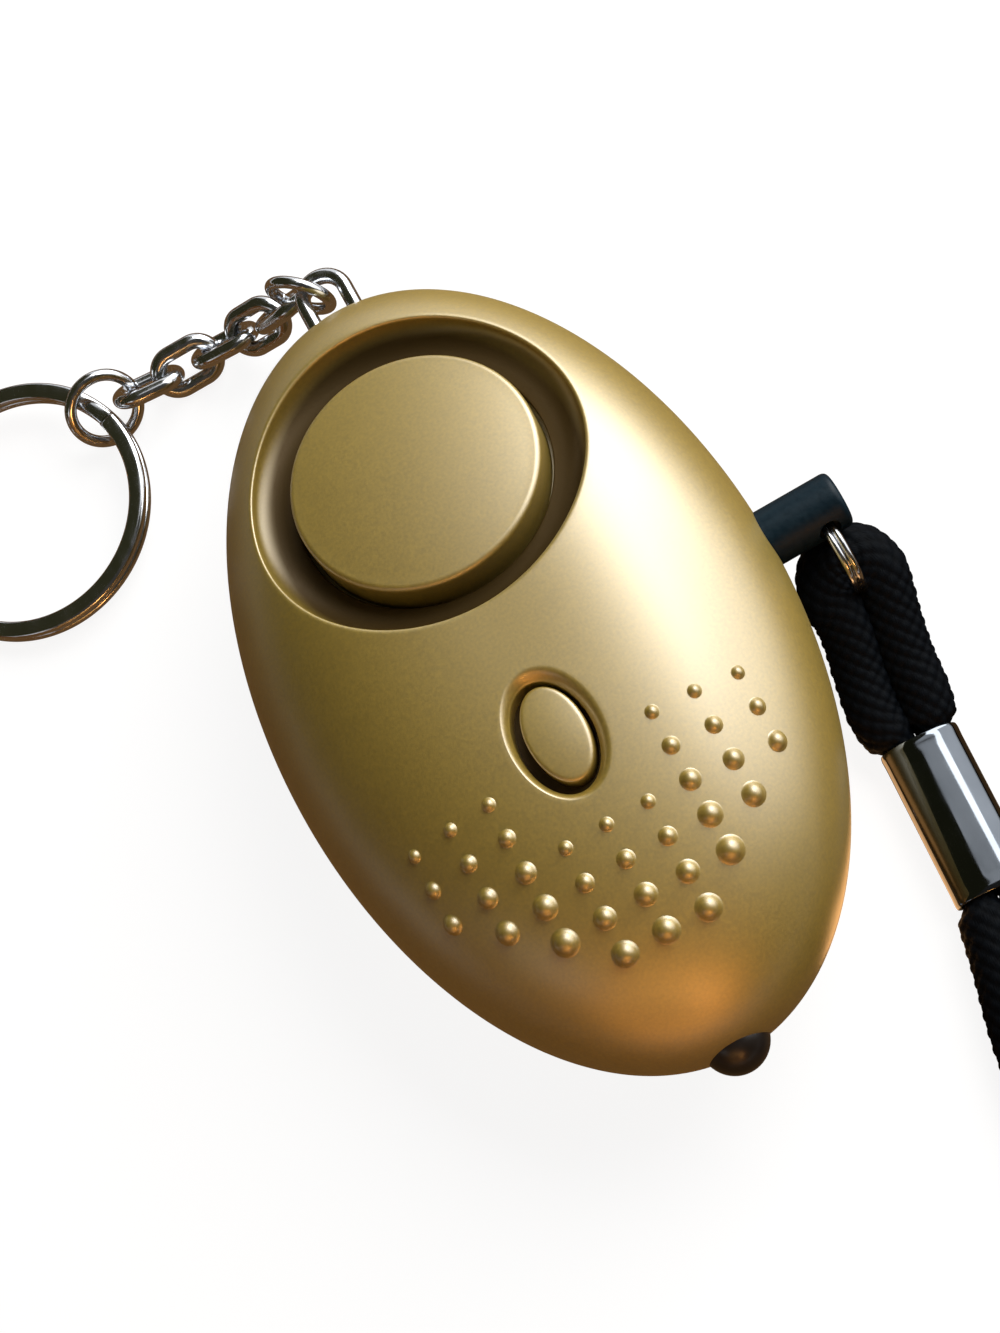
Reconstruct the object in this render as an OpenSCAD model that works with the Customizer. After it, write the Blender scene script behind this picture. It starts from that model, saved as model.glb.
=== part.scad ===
/* [Case] */
// Length of the case along its axis
body_length = 62; // [58:1:68]
// Width of the case at the seam
body_width = 38; // [36:1:42]
// Height of the case from its foot to its crown
body_height = 20; // [19:0.5:23]
// Height of the front shell above the seam
front_height = 11; // [10.5:0.5:13]
// Thickness of the shell walls
wall = 1.6; // [1.2:0.1:1.8]
// Fullness of the domes, where 2 is an ellipsoid
fullness = 2.9; // [2.6:0.1:3.4]
// Slope at which the back's curve meets its flat foot
foot_angle = 75; // [70:1:82]

/* [Speaker] */
// Distance of the speaker from the middle of the case
speaker_y = 13.6; // [12.8:0.1:14.2]
// Lean of the speaker with the curve of the front
speaker_tilt = 8; // [4:1:10]
// Radius of the round well in the front
well_radius = 12.2; // [11.8:0.1:12.6]
// Depth of the well below the cap's top
well_depth = 3; // [2.8:0.1:3.6]
// Radius of the concave wall of the well
well_cove = 2; // [1:0.1:2.2]
// Radius of the speaker cap
cap_radius = 9.1; // [8.6:0.1:9.4]
// Drop of the cap's top below the crown
cap_drop = 1.2; // [0.8:0.1:1.6]
// Width of the sound slot round the cap
sound_slot = 0.3; // [0.2:0.05:0.5]

/* [Light button] */
// Place of the light button along the case
button_y = -8.8; // [-9.4:0.1:-8.2]
// Length of the button
button_length = 7; // [6.4:0.1:7.6]
// Width of the button
button_width = 4.2; // [3.8:0.1:4.6]
// Travel of the button
button_travel = 0.4; // [0.2:0.05:0.5]
// Gap round the button
button_gap = 0.6; // [0.4:0.05:0.7]
// Width of the soft bevel round the gap
button_bevel = 0.6; // [0.4:0.1:0.9]

/* [Grip dots] */
// Distance between columns of dots
dot_column = 3.05; // [2.8:0.05:3.2]
// Distance between rows of dots
dot_row = 2.5; // [2.3:0.05:2.7]
// Place of the middle row along the case
dot_y = -15.7; // [-16.2:0.1:-15.2]
// Diameter of the smallest dots
dot_small = 0.9; // [0.7:0.05:1.1]
// Growth of a dot's diameter from row to row
dot_growth = 0.22; // [0.1:0.02:0.26]

/* [Pull pin] */
// Place of the pin along the case
pin_y = -0.75; // [-1:0.05:-0.5]
// Diameter of the pin's head
pin_diameter = 4.2; // [3.8:0.1:4.6]
// Length of head that stands out of the case
pin_reach = 5.7; // [5:0.1:6.5]
// Diameter of the stem that holds the contacts apart
stem_diameter = 2.4; // [2.2:0.1:2.6]
// Length of the stem
stem_length = 5.2; // [5:0.1:5.6]

/* [Lamp] */
// Diameter of the lamp
lamp_diameter = 4.8; // [4:0.1:5]
// Length of lamp that stands out of the case
lamp_reach = 1.4; // [1:0.1:2]

/* [Batteries] */
// Diameter of a button cell
cell_diameter = 11.6; // [11:0.1:11.7]
// Height of a button cell
cell_height = 5.4; // [5.2:0.05:5.5]
// Place of the cells along the case
cell_y = -9.6; // [-9.8:0.1:-9.4]

/* [Chain] */
// Length of a chain link
link_length = 6; // [5.6:0.1:6.6]
// Width of a chain link
link_width = 4.2; // [4:0.1:4.6]
// Diameter of the link wire
link_wire = 1.1; // [0.9:0.05:1.15]
// Diameter of the ring at the case, outside
end_ring_diameter = 5.6; // [5.4:0.1:6.2]
// Diameter of the ring at the key ring, outside
jump_ring_diameter = 6.4; // [6.2:0.1:7]
// Diameter of the wire of both rings
ring_wire = 0.95; // [0.8:0.05:1]
// Diameter of the key ring, outside
key_ring_diameter = 20.8; // [19:0.2:24]
// Width of the key ring's band
key_ring_band = 1.4; // [1.2:0.1:1.5]
// Height of the key ring's two turns
key_ring_height = 1.7; // [1.4:0.1:1.8]

/* [Wrist strap] */
// Diameter of the braided cord
cord_diameter = 3.4; // [3:0.1:3.5]
// Length of the crimped ferrule
ferrule_length = 12; // [10:0.5:13]
// Thickness of the ferrule's wall
ferrule_wall = 0.35; // [0.25:0.05:0.4]
// Share of its thickness that the cord keeps where the ferrule presses it
cord_press = 0.72; // [0.66:0.02:0.8]

/* [Fits] */
// Gap of pieces that slide on each other
running_fit = 0.06; // [0.04:0.01:0.1]
// Gap of pieces that are dropped into place
loose_fit = 0.12; // [0.08:0.02:0.2]

/* [Hidden] */
$fn = 48;
around = 72;
upward = 9;
oval_steps = 48;
crown_angle = 86;
half_w = body_width / 2;
half_l = body_length / 2;
seam = body_height - front_height;
back_rise = seam / sin(foot_angle);
gold = "#b9975b";
chrome = "#d0d3d8";
brass = "#c9a54a";
black = "#17181b";

// Speaker levels below the cap's top, along the speaker's own axis
cap_level = front_z(0, speaker_y) - cap_drop;
cap_skin = 1.4;
cap_edge = 0.7;
skirt_wall = 1;
well_floor = 0.8;
well_over = 5;
flange_thickness = 0.8;
flange_lip = 1.2;
flange_top = well_depth + well_floor;
flange_bottom = flange_top + flange_thickness;
flange_radius = cap_radius + sound_slot + flange_lip;
sound_windows = 4;
window_angle = 60;
holder_radius = flange_radius - 0.4;
holder_height = 4;
holder_wall = 1;
piezo_radius = 8.4;
piezo_seat = 1.2;
piezo_brass = 0.3;
piezo_ceramic = 0.25;
ceramic_radius = 6.2;
piezo_wire_x = 1.2;
piezo_wire_radius = 0.35;
piezo_wire_gap = 0.15;

// Cells, contacts and circuit board
cell_count = 3;
cell_radius = cell_diameter / 2;
cell_z = wall + loose_fit + cell_radius;
stack_length = cell_count * cell_height;
contact_thickness = 0.4;
contact_width = 6;
contact_gap = 0.05;
contact_end = stack_length / 2 + contact_gap + contact_thickness;
cradle_end = 1.2;
cradle_side = 0.8;
cradle_height = 3.4;
board_rise = 0.1;
board_thickness = 0.8;
board_z = cell_z + cell_radius + board_rise;
board_top = board_z + board_thickness;
board_half = contact_end + 0.4;
board_back = cell_y - 4.6;
board_front = -1.2;
board_tab_side = 2.2;
post_radius = 0.9;
post_x = board_half - 2;
post_rows = [board_back + 1.8, board_front - 1.6];

// Light button stack, from the crown down to the board
button_top = front_z(0, button_y) - 0.1;
button_crown = 20;
button_flange = 1.1;
button_flange_clear = 0.2;
button_flange_top = inner_front_z(0, button_y - button_length / 2 - button_flange) - button_flange_clear;
button_flange_thickness = 0.5;
button_bottom = button_flange_top - button_flange_thickness;
bevel_depth = 0.7;
plunger_radius = 0.9;
switch_size = 4.6;
switch_clear = 0.1;
switch_top = button_bottom - button_travel - switch_clear;
plunger_length = button_bottom - board_top - button_travel - switch_clear;

// Pull pin, its jack and the ring in its head
pin_radius = pin_diameter / 2;
jack_inset = 1.2;
jack_face = half_w - wall - jack_inset;
jack_length = 6.2;
jack_size = 5.2;
jack_back = jack_face - jack_length;
chamber_length = 3;
chamber_half = 2;
leaf_thickness = 0.25;
leaf_gap = 0.1;
leaf_width = 1.4;
leaf_inset = 0.2;
leaf_margin = 0.3;
leaf_x = jack_back + leaf_inset;
leaf_drop = 1.4;
pin_tip = half_w + pin_reach;
pin_round = 0.5;
pin_ring_inset = 1.8;
pin_ring_radius = 3.1;
pin_ring_wire = 0.55;
pin_ring_turn = 0.25;
pin_ring_lean = 40;
pin_hole_offset = 0.9;
pin_hole_radius = 0.85;
pin_ring_drop = pin_hole_offset + pin_ring_radius - 0.3;

// Lamp behind its hole in the seam
lamp_radius = lamp_diameter / 2;
lamp_tip = -half_l - lamp_reach;
lamp_length = 8;
lamp_flange = 0.5;
lamp_flange_length = 1;
lead_radius = 0.25;
lead_spread = 1.27;
lead_gap = 0.5;
lead_end = cell_y - cell_radius - lead_gap;
lead_z = board_z + board_thickness / 2;

// Case screws
screw_x = 8.5;
screw_inset_top = 5;
screw_inset_low = 12.2;
screw_low_y = screw_inset_low - half_l;
screw_spots = [[0, half_l - screw_inset_top], [screw_x, screw_low_y], [-screw_x, screw_low_y]];
screw_radius = 0.95;
screw_bite = 3;
screw_room = 0.4;
screw_head_radius = 1.8;
screw_head_height = 1.2;
screw_recess = 1.7;
boss_radius = 1.9;
seat_radius = 2.9;

// Wire eyelet in the end of the case
eyelet_wire = 1.2;
eyelet_radius = 1.7;
eyelet_stand = 2.4;
eyelet_foot = 1.7;
eyelet_y = half_l + eyelet_stand;
eyelet_inner = half_l - wall - 1.45;
eyelet_side = 135;

// Lie of the chain: heading, slope and roll of the end ring, five links and the jump ring
chain_yaw = [138, 156, 163, 171, 180, 180, 184];
chain_slope = [56, 40, 28, 11, -1, -10, -14];
chain_roll = [90, 40, -45, 45, -45, 45, -52];
chain_slack = 0.3;
link_half = (link_length - link_wire) / 2;
end_radius = (end_ring_diameter - ring_wire) / 2;
jump_radius = (jump_ring_diameter - ring_wire) / 2;
chain_half = [end_radius, link_half, link_half, link_half, link_half, link_half, jump_radius];
chain_wire = [ring_wire, link_wire, link_wire, link_wire, link_wire, link_wire, ring_wire];
eyelet_contact = [eyelet_radius * cos(eyelet_side), eyelet_y + eyelet_radius * sin(eyelet_side), seam];

// Lie of the key ring, raised where the jump ring passes under it
key_yaw = 202;
key_offset = 0.5;
key_drop = 0.2;
key_groove = 0.12;
key_middle = (key_ring_diameter - key_ring_band) / 2;
key_near_z = chain_centre(6).z - key_drop;
key_tilt = asin((key_near_z - key_ring_height / 2) / (key_middle + key_ring_diameter / 2));
key_z = key_ring_height / 2 + key_ring_diameter / 2 * sin(key_tilt);

// Lie of the strap on the table beside the case
cord_radius = cord_diameter / 2;
cord_sides = 8;
press_radius = cord_press * cord_radius;
strand_half = press_radius + 0.02;
ferrule_turn = 4;
ferrule_mouth = [21.1, -16.8];
ferrule_pocket = 2.3;
ferrule_z = press_radius + loose_fit + ferrule_wall;
cord_end = ferrule_pocket - 0.05;
loop_points = [
    [19.55, -14, 2.35], [19.85, -11, 3], [20, -8.3, 3.8], [20, -6.1, 4.7], [20.8, -4.2, 5.35],
    [22.9, -3.1, 5.6], [24.75, -4.1, 5.35], [25.35, -6.3, 4.7], [24.6, -8.7, 3.8], [23.7, -11.4, 3],
    [23.1, -14.2, 2.35]
];
wrist_points = [
    [18, -33, 1.8], [16.4, -39, 1.7], [15.6, -46, 1.7], [17, -54, 1.7], [21.5, -61, 1.7],
    [28.5, -65.5, 1.7], [37, -66.5, 1.7], [45, -63.5, 1.7], [51, -57.5, 1.7], [53.5, -49.5, 1.7],
    [54, -41, 1.7], [54, -32, 1.7], [53.5, -23, 1.7], [53, -14.5, 1.7], [51.5, -8.5, 1.7],
    [47.5, -5.2, 1.7], [42.8, -6.3, 1.7], [40.3, -10.8, 1.7], [40.6, -18, 1.7], [41.3, -26, 1.7],
    [41.8, -34, 1.7], [41.5, -41, 1.7], [41.3, -47, 1.7], [39.5, -52.5, 1.7], [35, -56, 1.7],
    [29.5, -55.5, 1.7], [25, -51.5, 1.7], [22.8, -46, 1.7], [21.8, -40, 1.7], [21.9, -34, 1.8]
];

// Heights of the case's surfaces over the point x, y
function share(x, y, w, l) = sqrt(pow(x / w, 2) + pow(y / l, 2));
function swell(s) = sqrt(max(0, 1 - pow(s, fullness)));
function front_z(x, y) = seam + front_height * swell(share(x, y, half_w, half_l));
function inner_front_z(x, y) =
    seam + (front_height - wall) * swell(share(x, y, half_w - wall, half_l - wall));
function back_z(x, y) = seam - back_rise * swell(share(x, y, half_w, half_l));

// One oval ring of points, and the rings of a dome from its rim to its crown
function oval_ring(w, l, z) = [
    for (i = [0:around - 1])
        let (t = 360 * i / around)
            [w * cos(t), l * sin(t), z]
];
function dome_rings(w, l, rise, last) = [
    for (k = [0:upward])
        let (t = last * k / upward, s = pow(cos(t), 2 / fullness))
            oval_ring(w * s, l * s, rise * sin(t))
];

// Closed dome on the seam plane, with a skirt below it
module dome(w, l, rise, last, skirt) {
    over = [for (r = dome_rings(w, l, rise, last)) if (skirt > 0 || r[0].z > 0) r];
    rings = concat([oval_ring(w, l, -skirt)], over);
    count = len(rings);
    sides = [
        for (k = [0:count - 2], i = [0:around - 1])
            let (j = (i + 1) % around)
                [k * around + i, (k + 1) * around + i, (k + 1) * around + j, k * around + j]
    ];
    bottom = [[for (i = [0:around - 1]) i]];
    top = [[for (i = [around - 1:-1:0]) (count - 1) * around + i]];
    polyhedron([for (r = rings) each r], concat(bottom, sides, top), convexity = 4);
}

module front_dome() {
    translate([0, 0, seam]) dome(half_w, half_l, front_height, crown_angle, 0);
}

module front_space() {
    translate([0, 0, seam]) dome(half_w - wall, half_l - wall, front_height - wall, crown_angle, 1);
}

module back_dome() {
    translate([0, 0, seam]) mirror([0, 0, 1]) dome(half_w, half_l, back_rise, foot_angle, 0);
}

module back_space() {
    rise = (seam - wall) / sin(foot_angle);
    translate([0, 0, seam]) mirror([0, 0, 1]) dome(half_w - wall, half_l - wall, rise, foot_angle, 1);
}

// Oval outline, long along y
module oval(length, width) {
    polygon([
        for (i = [0:oval_steps - 1])
            let (t = 360 * i / oval_steps)
                [width / 2 * cos(t), length / 2 * sin(t)]
    ]);
}

// Frame of the speaker: origin at the middle of the cap's top, z along its axis
module at_speaker() {
    translate([0, speaker_y, cap_level]) rotate([-speaker_tilt, 0, 0]) children();
}

// Rod between two points
module rod(from, to, radius) {
    way = to - from;
    span = norm(way);
    translate(from) rotate([0, acos(way.z / span), atan2(way.y, way.x)]) cylinder(r = radius, h = span);
}

// Cuts that both shells share on the seam: the pin's hole, the lamp's hole and the eyelet's legs
module seam_cuts() {
    translate([jack_face, pin_y, seam]) rotate([0, 90, 0])
        cylinder(r = pin_radius + running_fit, h = half_w);
    translate([0, wall + 2 - half_l, seam]) rotate([90, 0, 0])
        cylinder(r = lamp_radius + running_fit, h = half_l);
    for (side = [-1, 1])
        translate([side * eyelet_radius, half_l - wall - 1, seam])
            rotate([-90, 0, 0]) cylinder(d = eyelet_wire + 2 * running_fit, h = wall + 3);
}

// Round well with a concave wall, open upwards
module well_cut() {
    inner = cap_radius + sound_slot;
    at_speaker() rotate_extrude($fn = 96) {
        translate([0, -well_depth]) square([well_radius - well_cove, well_depth + well_over]);
        translate([0, well_cove - well_depth]) square([well_radius, well_depth + well_over - well_cove]);
        translate([well_radius - well_cove, well_cove - well_depth]) circle(well_cove);
        translate([0, -well_depth - well_over]) square([inner, well_over + well_floor]);
    }
}

// Raised dot on the front, its size growing towards the lamp
module dot(column, row) {
    x = column * dot_column;
    y = dot_y - row * dot_row;
    first = abs(column) >= 2 ? -2 : 0;
    radius = (dot_small + dot_growth * (row - first) * (abs(column) >= 2 ? 1 : 1.2)) / 2;
    translate([x, y, front_z(x, y) - 0.25 * radius]) sphere(radius, $fn = 24);
}

// Rows of dots: a band of five columns each side and three short ones in the middle
module dots() {
    for (column = [-4:4]) {
        first = abs(column) >= 2 ? -2 : 0;
        last = abs(column) >= 2 ? 4 - abs(column) : 3;
        for (row = [first:last]) dot(column, row);
    }
}

module front_shell() {
    color(gold) {
        difference() {
            front_dome();
            difference() {
                front_space();
                at_speaker() translate([0, 0, -flange_top])
                    cylinder(r = well_radius + wall, h = flange_top + well_over, $fn = 96);
                for (p = screw_spots)
                    translate([p.x, p.y, seam - 2]) cylinder(r = boss_radius, h = body_height);
                for (side = [-1, 1], y = post_rows)
                    translate([side * post_x, y, board_top]) cylinder(r = post_radius, h = body_height);
            }
            well_cut();
            translate([0, button_y, button_bottom]) linear_extrude(body_height)
                oval(button_length + 2 * button_gap, button_width + 2 * button_gap);
            button_bevel_cut();
            for (p = screw_spots)
                translate([p.x, p.y, seam - 1])
                    cylinder(r = screw_radius + running_fit, h = screw_bite + screw_room + 1);
            seam_cuts();
        }
        dots();
    }
}

// Soft bevel that leads into the button's gap
module button_bevel_cut() {
    gap_length = button_length + 2 * button_gap;
    gap_width = button_width + 2 * button_gap;
    crown = front_z(0, button_y);
    translate([0, button_y, crown - bevel_depth]) hull() {
        linear_extrude(0.01) oval(gap_length, gap_width);
        translate([0, 0, 2 * bevel_depth]) linear_extrude(0.01)
            oval(gap_length + 4 * button_bevel, gap_width + 4 * button_bevel);
    }
}

// Trough that holds the cells, with a stop behind each contact
module cell_cradle() {
    half_x = contact_end + contact_gap + cradle_end;
    half_y = cell_radius + cradle_side;
    difference() {
        translate([-half_x, cell_y - half_y, 0]) cube([2 * half_x, 2 * half_y, wall + cradle_height]);
        cell_trough();
    }
}

// Room for the cells and the contact at each end of them
module cell_trough() {
    translate([-contact_end - contact_gap, cell_y, cell_z]) rotate([0, 90, 0])
        cylinder(r = cell_radius + loose_fit, h = 2 * (contact_end + contact_gap), $fn = 96);
}

module back_shell() {
    color(gold) difference() {
        back_dome();
        difference() {
            back_space();
            for (p = screw_spots) {
                translate([p.x, p.y, 0]) cylinder(r = boss_radius, h = body_height);
                translate([p.x, p.y, 0])
                    cylinder(r = seat_radius, h = back_z(p.x, p.y) + screw_recess + wall);
            }
            cell_cradle();
            translate([jack_back, pin_y - jack_size / 2, 0])
                cube([jack_length, jack_size, seam - jack_size / 2]);
        }
        for (p = screw_spots) {
            seat = back_z(p.x, p.y) + screw_recess;
            translate([p.x, p.y, -1]) cylinder(r = screw_head_radius + loose_fit, h = seat + 1);
            translate([p.x, p.y, 0]) cylinder(r = screw_radius + loose_fit, h = body_height);
        }
        cell_trough();
        seam_cuts();
    }
}

module case_screws() {
    color(chrome) for (p = screw_spots) {
        seat = back_z(p.x, p.y) + screw_recess;
        slot_width = 0.5;
        difference() {
            union() {
                translate([p.x, p.y, seat - screw_head_height])
                    cylinder(r = screw_head_radius, h = screw_head_height);
                translate([p.x, p.y, seat]) cylinder(r = screw_radius, h = seam + screw_bite - seat);
            }
            for (turn = [0, 90])
                translate([p.x, p.y, seat - screw_head_height]) rotate([0, 0, turn])
                    cube([2 * screw_radius, slot_width, 1.2], center = true);
        }
    }
}

// Round cap on a skirt, with a flange under the well's floor and windows for the sound
module speaker_cap() {
    color(gold) at_speaker() difference() {
        rotate_extrude($fn = 96) {
            translate([0, -cap_skin]) square([cap_radius - cap_edge, cap_skin]);
            translate([0, -flange_bottom]) difference() {
                square([cap_radius, flange_bottom - cap_edge]);
                square([cap_radius - skirt_wall, flange_bottom - cap_skin]);
            }
            translate([cap_radius - cap_edge, -cap_edge]) circle(cap_edge);
            translate([cap_radius - skirt_wall, -flange_bottom])
                square([flange_radius - cap_radius + skirt_wall, flange_thickness]);
        }
        for (i = [0:sound_windows - 1])
            rotate([0, 0, 360 / sound_windows * i]) translate([0, 0, -flange_bottom - 1])
                rotate_extrude(angle = window_angle, $fn = 96)
                    translate([cap_radius, 0]) square([sound_slot + 0.5, flange_thickness + 1.4]);
    }
}

// Cup that seats the sounder disc under the cap
module piezo_holder() {
    color(black) at_speaker() translate([0, 0, -flange_bottom - holder_height]) difference() {
        cylinder(r = holder_radius, h = holder_height, $fn = 96);
        translate([0, 0, holder_wall]) cylinder(r = piezo_radius - 1, h = holder_height, $fn = 96);
        translate([0, 0, holder_height - piezo_seat])
            cylinder(r = piezo_radius + loose_fit, h = holder_height, $fn = 96);
    }
}

module piezo_disc() {
    color(brass) at_speaker() translate([0, 0, -flange_bottom - piezo_seat]) {
        cylinder(r = piezo_radius, h = piezo_brass, $fn = 96);
        translate([0, 0, -piezo_ceramic]) cylinder(r = ceramic_radius, h = piezo_ceramic, $fn = 96);
    }
}

// Two leads from the sounder to the underside of the board
module piezo_wires() {
    drop = flange_bottom + holder_height / 2;
    out = holder_radius + piezo_wire_gap;
    from_y = speaker_y - out * cos(speaker_tilt) - drop * sin(speaker_tilt);
    from_z = cap_level - drop * cos(speaker_tilt) + out * sin(speaker_tilt);
    to_y = board_front + piezo_wire_radius + loose_fit;
    to_z = board_z + board_thickness / 2;
    color("red") for (side = [-1, 1])
        rod([side * piezo_wire_x, from_y, from_z], [side * piezo_wire_x, to_y, to_z], piezo_wire_radius);
}

module light_button() {
    color(gold) translate([0, button_y, 0]) {
        intersection() {
            translate([0, 0, button_bottom]) linear_extrude(body_height) oval(button_length, button_width);
            translate([0, 0, button_top - button_crown]) sphere(button_crown, $fn = 128);
        }
        translate([0, 0, button_bottom]) linear_extrude(button_flange_thickness)
            oval(button_length + 2 * button_flange, button_width + 2 * button_flange);
    }
}

module switch_plunger() {
    color(black) translate([0, button_y, button_bottom - plunger_length])
        cylinder(r = plunger_radius, h = plunger_length);
}

module light_switch() {
    color("dimgray") translate([0, button_y, board_top]) difference() {
        translate([-switch_size / 2, -switch_size / 2, 0])
            cube([switch_size, switch_size, switch_top - board_top]);
        translate([0, 0, -1]) cylinder(r = plunger_radius + running_fit, h = body_height);
    }
}

// Board over the cells, with a tab out to the pin's contacts
module circuit_board() {
    color("darkgreen") translate([0, 0, board_z]) linear_extrude(board_thickness) {
        translate([-board_half, board_back]) square([2 * board_half, board_front - board_back]);
        translate([post_x, pin_y - board_tab_side])
            square([leaf_x + leaf_width + leaf_margin - post_x, 2 * board_tab_side]);
    }
}

// Round lamp with a flange, and two leads up to the board
module lamp() {
    base = lamp_tip + lamp_length;
    color("darkslategray") {
        translate([0, 0, seam]) rotate([90, 0, 0]) {
            translate([0, 0, -base]) cylinder(r = lamp_radius, h = lamp_length - lamp_radius);
            translate([0, 0, -base]) cylinder(r = lamp_radius + lamp_flange, h = lamp_flange_length);
            intersection() {
                translate([0, 0, -lamp_tip - lamp_radius]) sphere(lamp_radius);
                translate([0, 0, -lamp_tip]) cube(lamp_diameter, center = true);
            }
        }
        for (side = [-1, 1]) {
            x = side * lead_spread;
            rod([x, base - 0.1, seam], [x, lead_end, seam], lead_radius);
            translate([x, lead_end, seam]) sphere(lead_radius);
            rod([x, lead_end, seam], [x, lead_end, lead_z], lead_radius);
            translate([x, lead_end, lead_z]) sphere(lead_radius);
            rod([x, lead_end, lead_z], [x, board_back - loose_fit, lead_z], lead_radius);
        }
    }
}

module cell(index) {
    start = index * cell_height - stack_length / 2;
    cap_height = 0.5;
    color("silver") translate([start, cell_y, cell_z]) rotate([0, 90, 0]) {
        cylinder(r = cell_radius, h = cell_height - cap_height, $fn = 96);
        cylinder(r = cell_radius - 1.2, h = cell_height, $fn = 96);
    }
}

module cell_1() { cell(0); }
module cell_2() { cell(1); }
module cell_3() { cell(2); }

// Spring strip at one end of the cells, soldered up to the board
module contact(side) {
    inner = stack_length / 2 + contact_gap;
    foot = cell_z - sqrt(pow(cell_radius, 2) - pow(contact_width / 2, 2));
    color(brass) translate([side > 0 ? inner : -inner - contact_thickness, cell_y - contact_width / 2, foot])
        cube([contact_thickness, contact_width, board_z - foot]);
}

module plus_contact() { contact(1); }
module minus_contact() { contact(-1); }

// Block with the pin's bore and an open chamber for the contacts
module pin_jack() {
    color(black) difference() {
        translate([jack_back, pin_y - jack_size / 2, seam - jack_size / 2])
            cube([jack_length, jack_size, jack_size]);
        translate([jack_back - 1, pin_y, seam]) rotate([0, 90, 0])
            cylinder(d = stem_diameter + 2 * running_fit, h = jack_length + 2);
        translate([jack_back - 1, pin_y - chamber_half, seam - leaf_drop - loose_fit])
            cube([chamber_length + 1, 2 * chamber_half, jack_size]);
    }
}

// Two leaves that the stem holds apart, with tails up to the board's tab
module pin_contacts() {
    offset_y = stem_diameter / 2 + leaf_gap;
    color(brass) for (side = [-1, 1])
        translate([leaf_x, side > 0 ? pin_y + offset_y : pin_y - offset_y - leaf_thickness, seam - leaf_drop])
            cube([leaf_width, leaf_thickness, board_z - seam + leaf_drop]);
}

// Frame of the ring's hole in the pin's head: x along the pin, z away from the ring
module at_pin_ring() {
    translate([pin_tip - pin_ring_inset, pin_y, seam]) rotate([-pin_ring_lean, 0, 0]) children();
}

module pull_pin() {
    head = jack_face + 0.05;
    color(black) difference() {
        union() {
            translate([0, pin_y, seam]) rotate([0, 90, 0]) {
                rotate_extrude() {
                    translate([0, head]) square([pin_radius, pin_tip - pin_round - head]);
                    translate([0, head]) square([pin_radius - pin_round, pin_tip - head]);
                    translate([pin_radius - pin_round, pin_tip - pin_round]) circle(pin_round);
                    translate([0, head - stem_length]) square([stem_diameter / 2, stem_length]);
                }
            }
        }
        at_pin_ring() translate([0, 0, -pin_hole_offset]) rotate([90, 0, 0])
            cylinder(r = pin_hole_radius, h = pin_diameter + 2, center = true);
    }
}

module wire_ring(radius, wire) {
    rotate_extrude($fn = 64) translate([radius, 0]) circle(d = wire, $fn = 24);
}

// Split ring of two turns through the hole in the pin's head
module pin_ring() {
    color(chrome) at_pin_ring() translate([0, 0, -pin_ring_drop]) rotate([0, 90, 0])
        for (side = [-1, 1])
            translate([0, 0, side * pin_ring_turn]) wire_ring(pin_ring_radius, pin_ring_wire);
}

// Point beside the ferrule's axis, so far along it from its mouth
function ferrule_point(side, along) = [
    ferrule_mouth.x - along * sin(ferrule_turn) + side * strand_half * cos(ferrule_turn),
    ferrule_mouth.y - along * cos(ferrule_turn) - side * strand_half * sin(ferrule_turn),
    ferrule_z
];

// Round tube along a route, ringed square to it at each point with a radius there
function unit(v) = v / norm(v);
function tangent(route, i) = unit(route[min(i + 1, len(route) - 1)] - route[max(i - 1, 0)]);
function tube_ring(p, way, radius) =
    let (right = unit(cross(way, [0, 0, 1])), up = cross(right, way)) [
        for (k = [0:cord_sides - 1])
            let (a = 360 * (k + 0.5) / cord_sides)
                p + radius * (cos(a) * right + sin(a) * up)
    ];

module tube(route, radii) {
    count = len(route);
    rings = [for (i = [0:count - 1]) each tube_ring(route[i], tangent(route, i), radii[i])];
    sides = [
        for (i = [0:count - 2], k = [0:cord_sides - 1])
            let (j = (k + 1) % cord_sides, a = i * cord_sides, b = a + cord_sides)
                each [[a + k, b + k, b + j], [a + k, b + j, a + j]]
    ];
    start = [[for (k = [0:cord_sides - 1]) k]];
    finish = [[for (k = [cord_sides - 1:-1:0]) (count - 1) * cord_sides + k]];
    polyhedron(rings, concat(start, sides, finish), convexity = 6);
}

// Cord between two pressed ends in the ferrule
module cord(start, route, finish) {
    pressed = [press_radius, press_radius];
    full = [for (p = route) cord_radius];
    color(black) tube(concat(start, route, finish), concat(pressed, full, pressed));
}

// Small loop of cord from the ferrule through the pin's ring
module cord_loop() {
    start = [ferrule_point(-1, cord_end), ferrule_point(-1, 0)];
    finish = [ferrule_point(1, 0), ferrule_point(1, cord_end)];
    cord(start, loop_points, finish);
}

// Wrist loop of cord from the ferrule's other end and back to it
module wrist_cord() {
    start = [ferrule_point(-1, ferrule_length - cord_end), ferrule_point(-1, ferrule_length)];
    finish = [ferrule_point(1, ferrule_length), ferrule_point(1, ferrule_length - cord_end)];
    cord(start, wrist_points, finish);
}

module stadium(half, radius) {
    square([2 * half, 2 * radius], center = true);
    for (side = [-1, 1]) translate([side * half, 0]) circle(radius);
}

// Flattened metal tube crimped over both strands, with a pocket at each end
module ferrule() {
    pocket = press_radius + loose_fit;
    mouth = [ferrule_mouth.x, ferrule_mouth.y, ferrule_z];
    color(chrome) translate(mouth) rotate([90, 0, -ferrule_turn]) difference() {
        linear_extrude(ferrule_length) stadium(strand_half, pocket + ferrule_wall);
        for (z = [-1, ferrule_length - ferrule_pocket])
            translate([0, 0, z]) linear_extrude(ferrule_pocket + 1) stadium(strand_half, pocket);
    }
}

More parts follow.
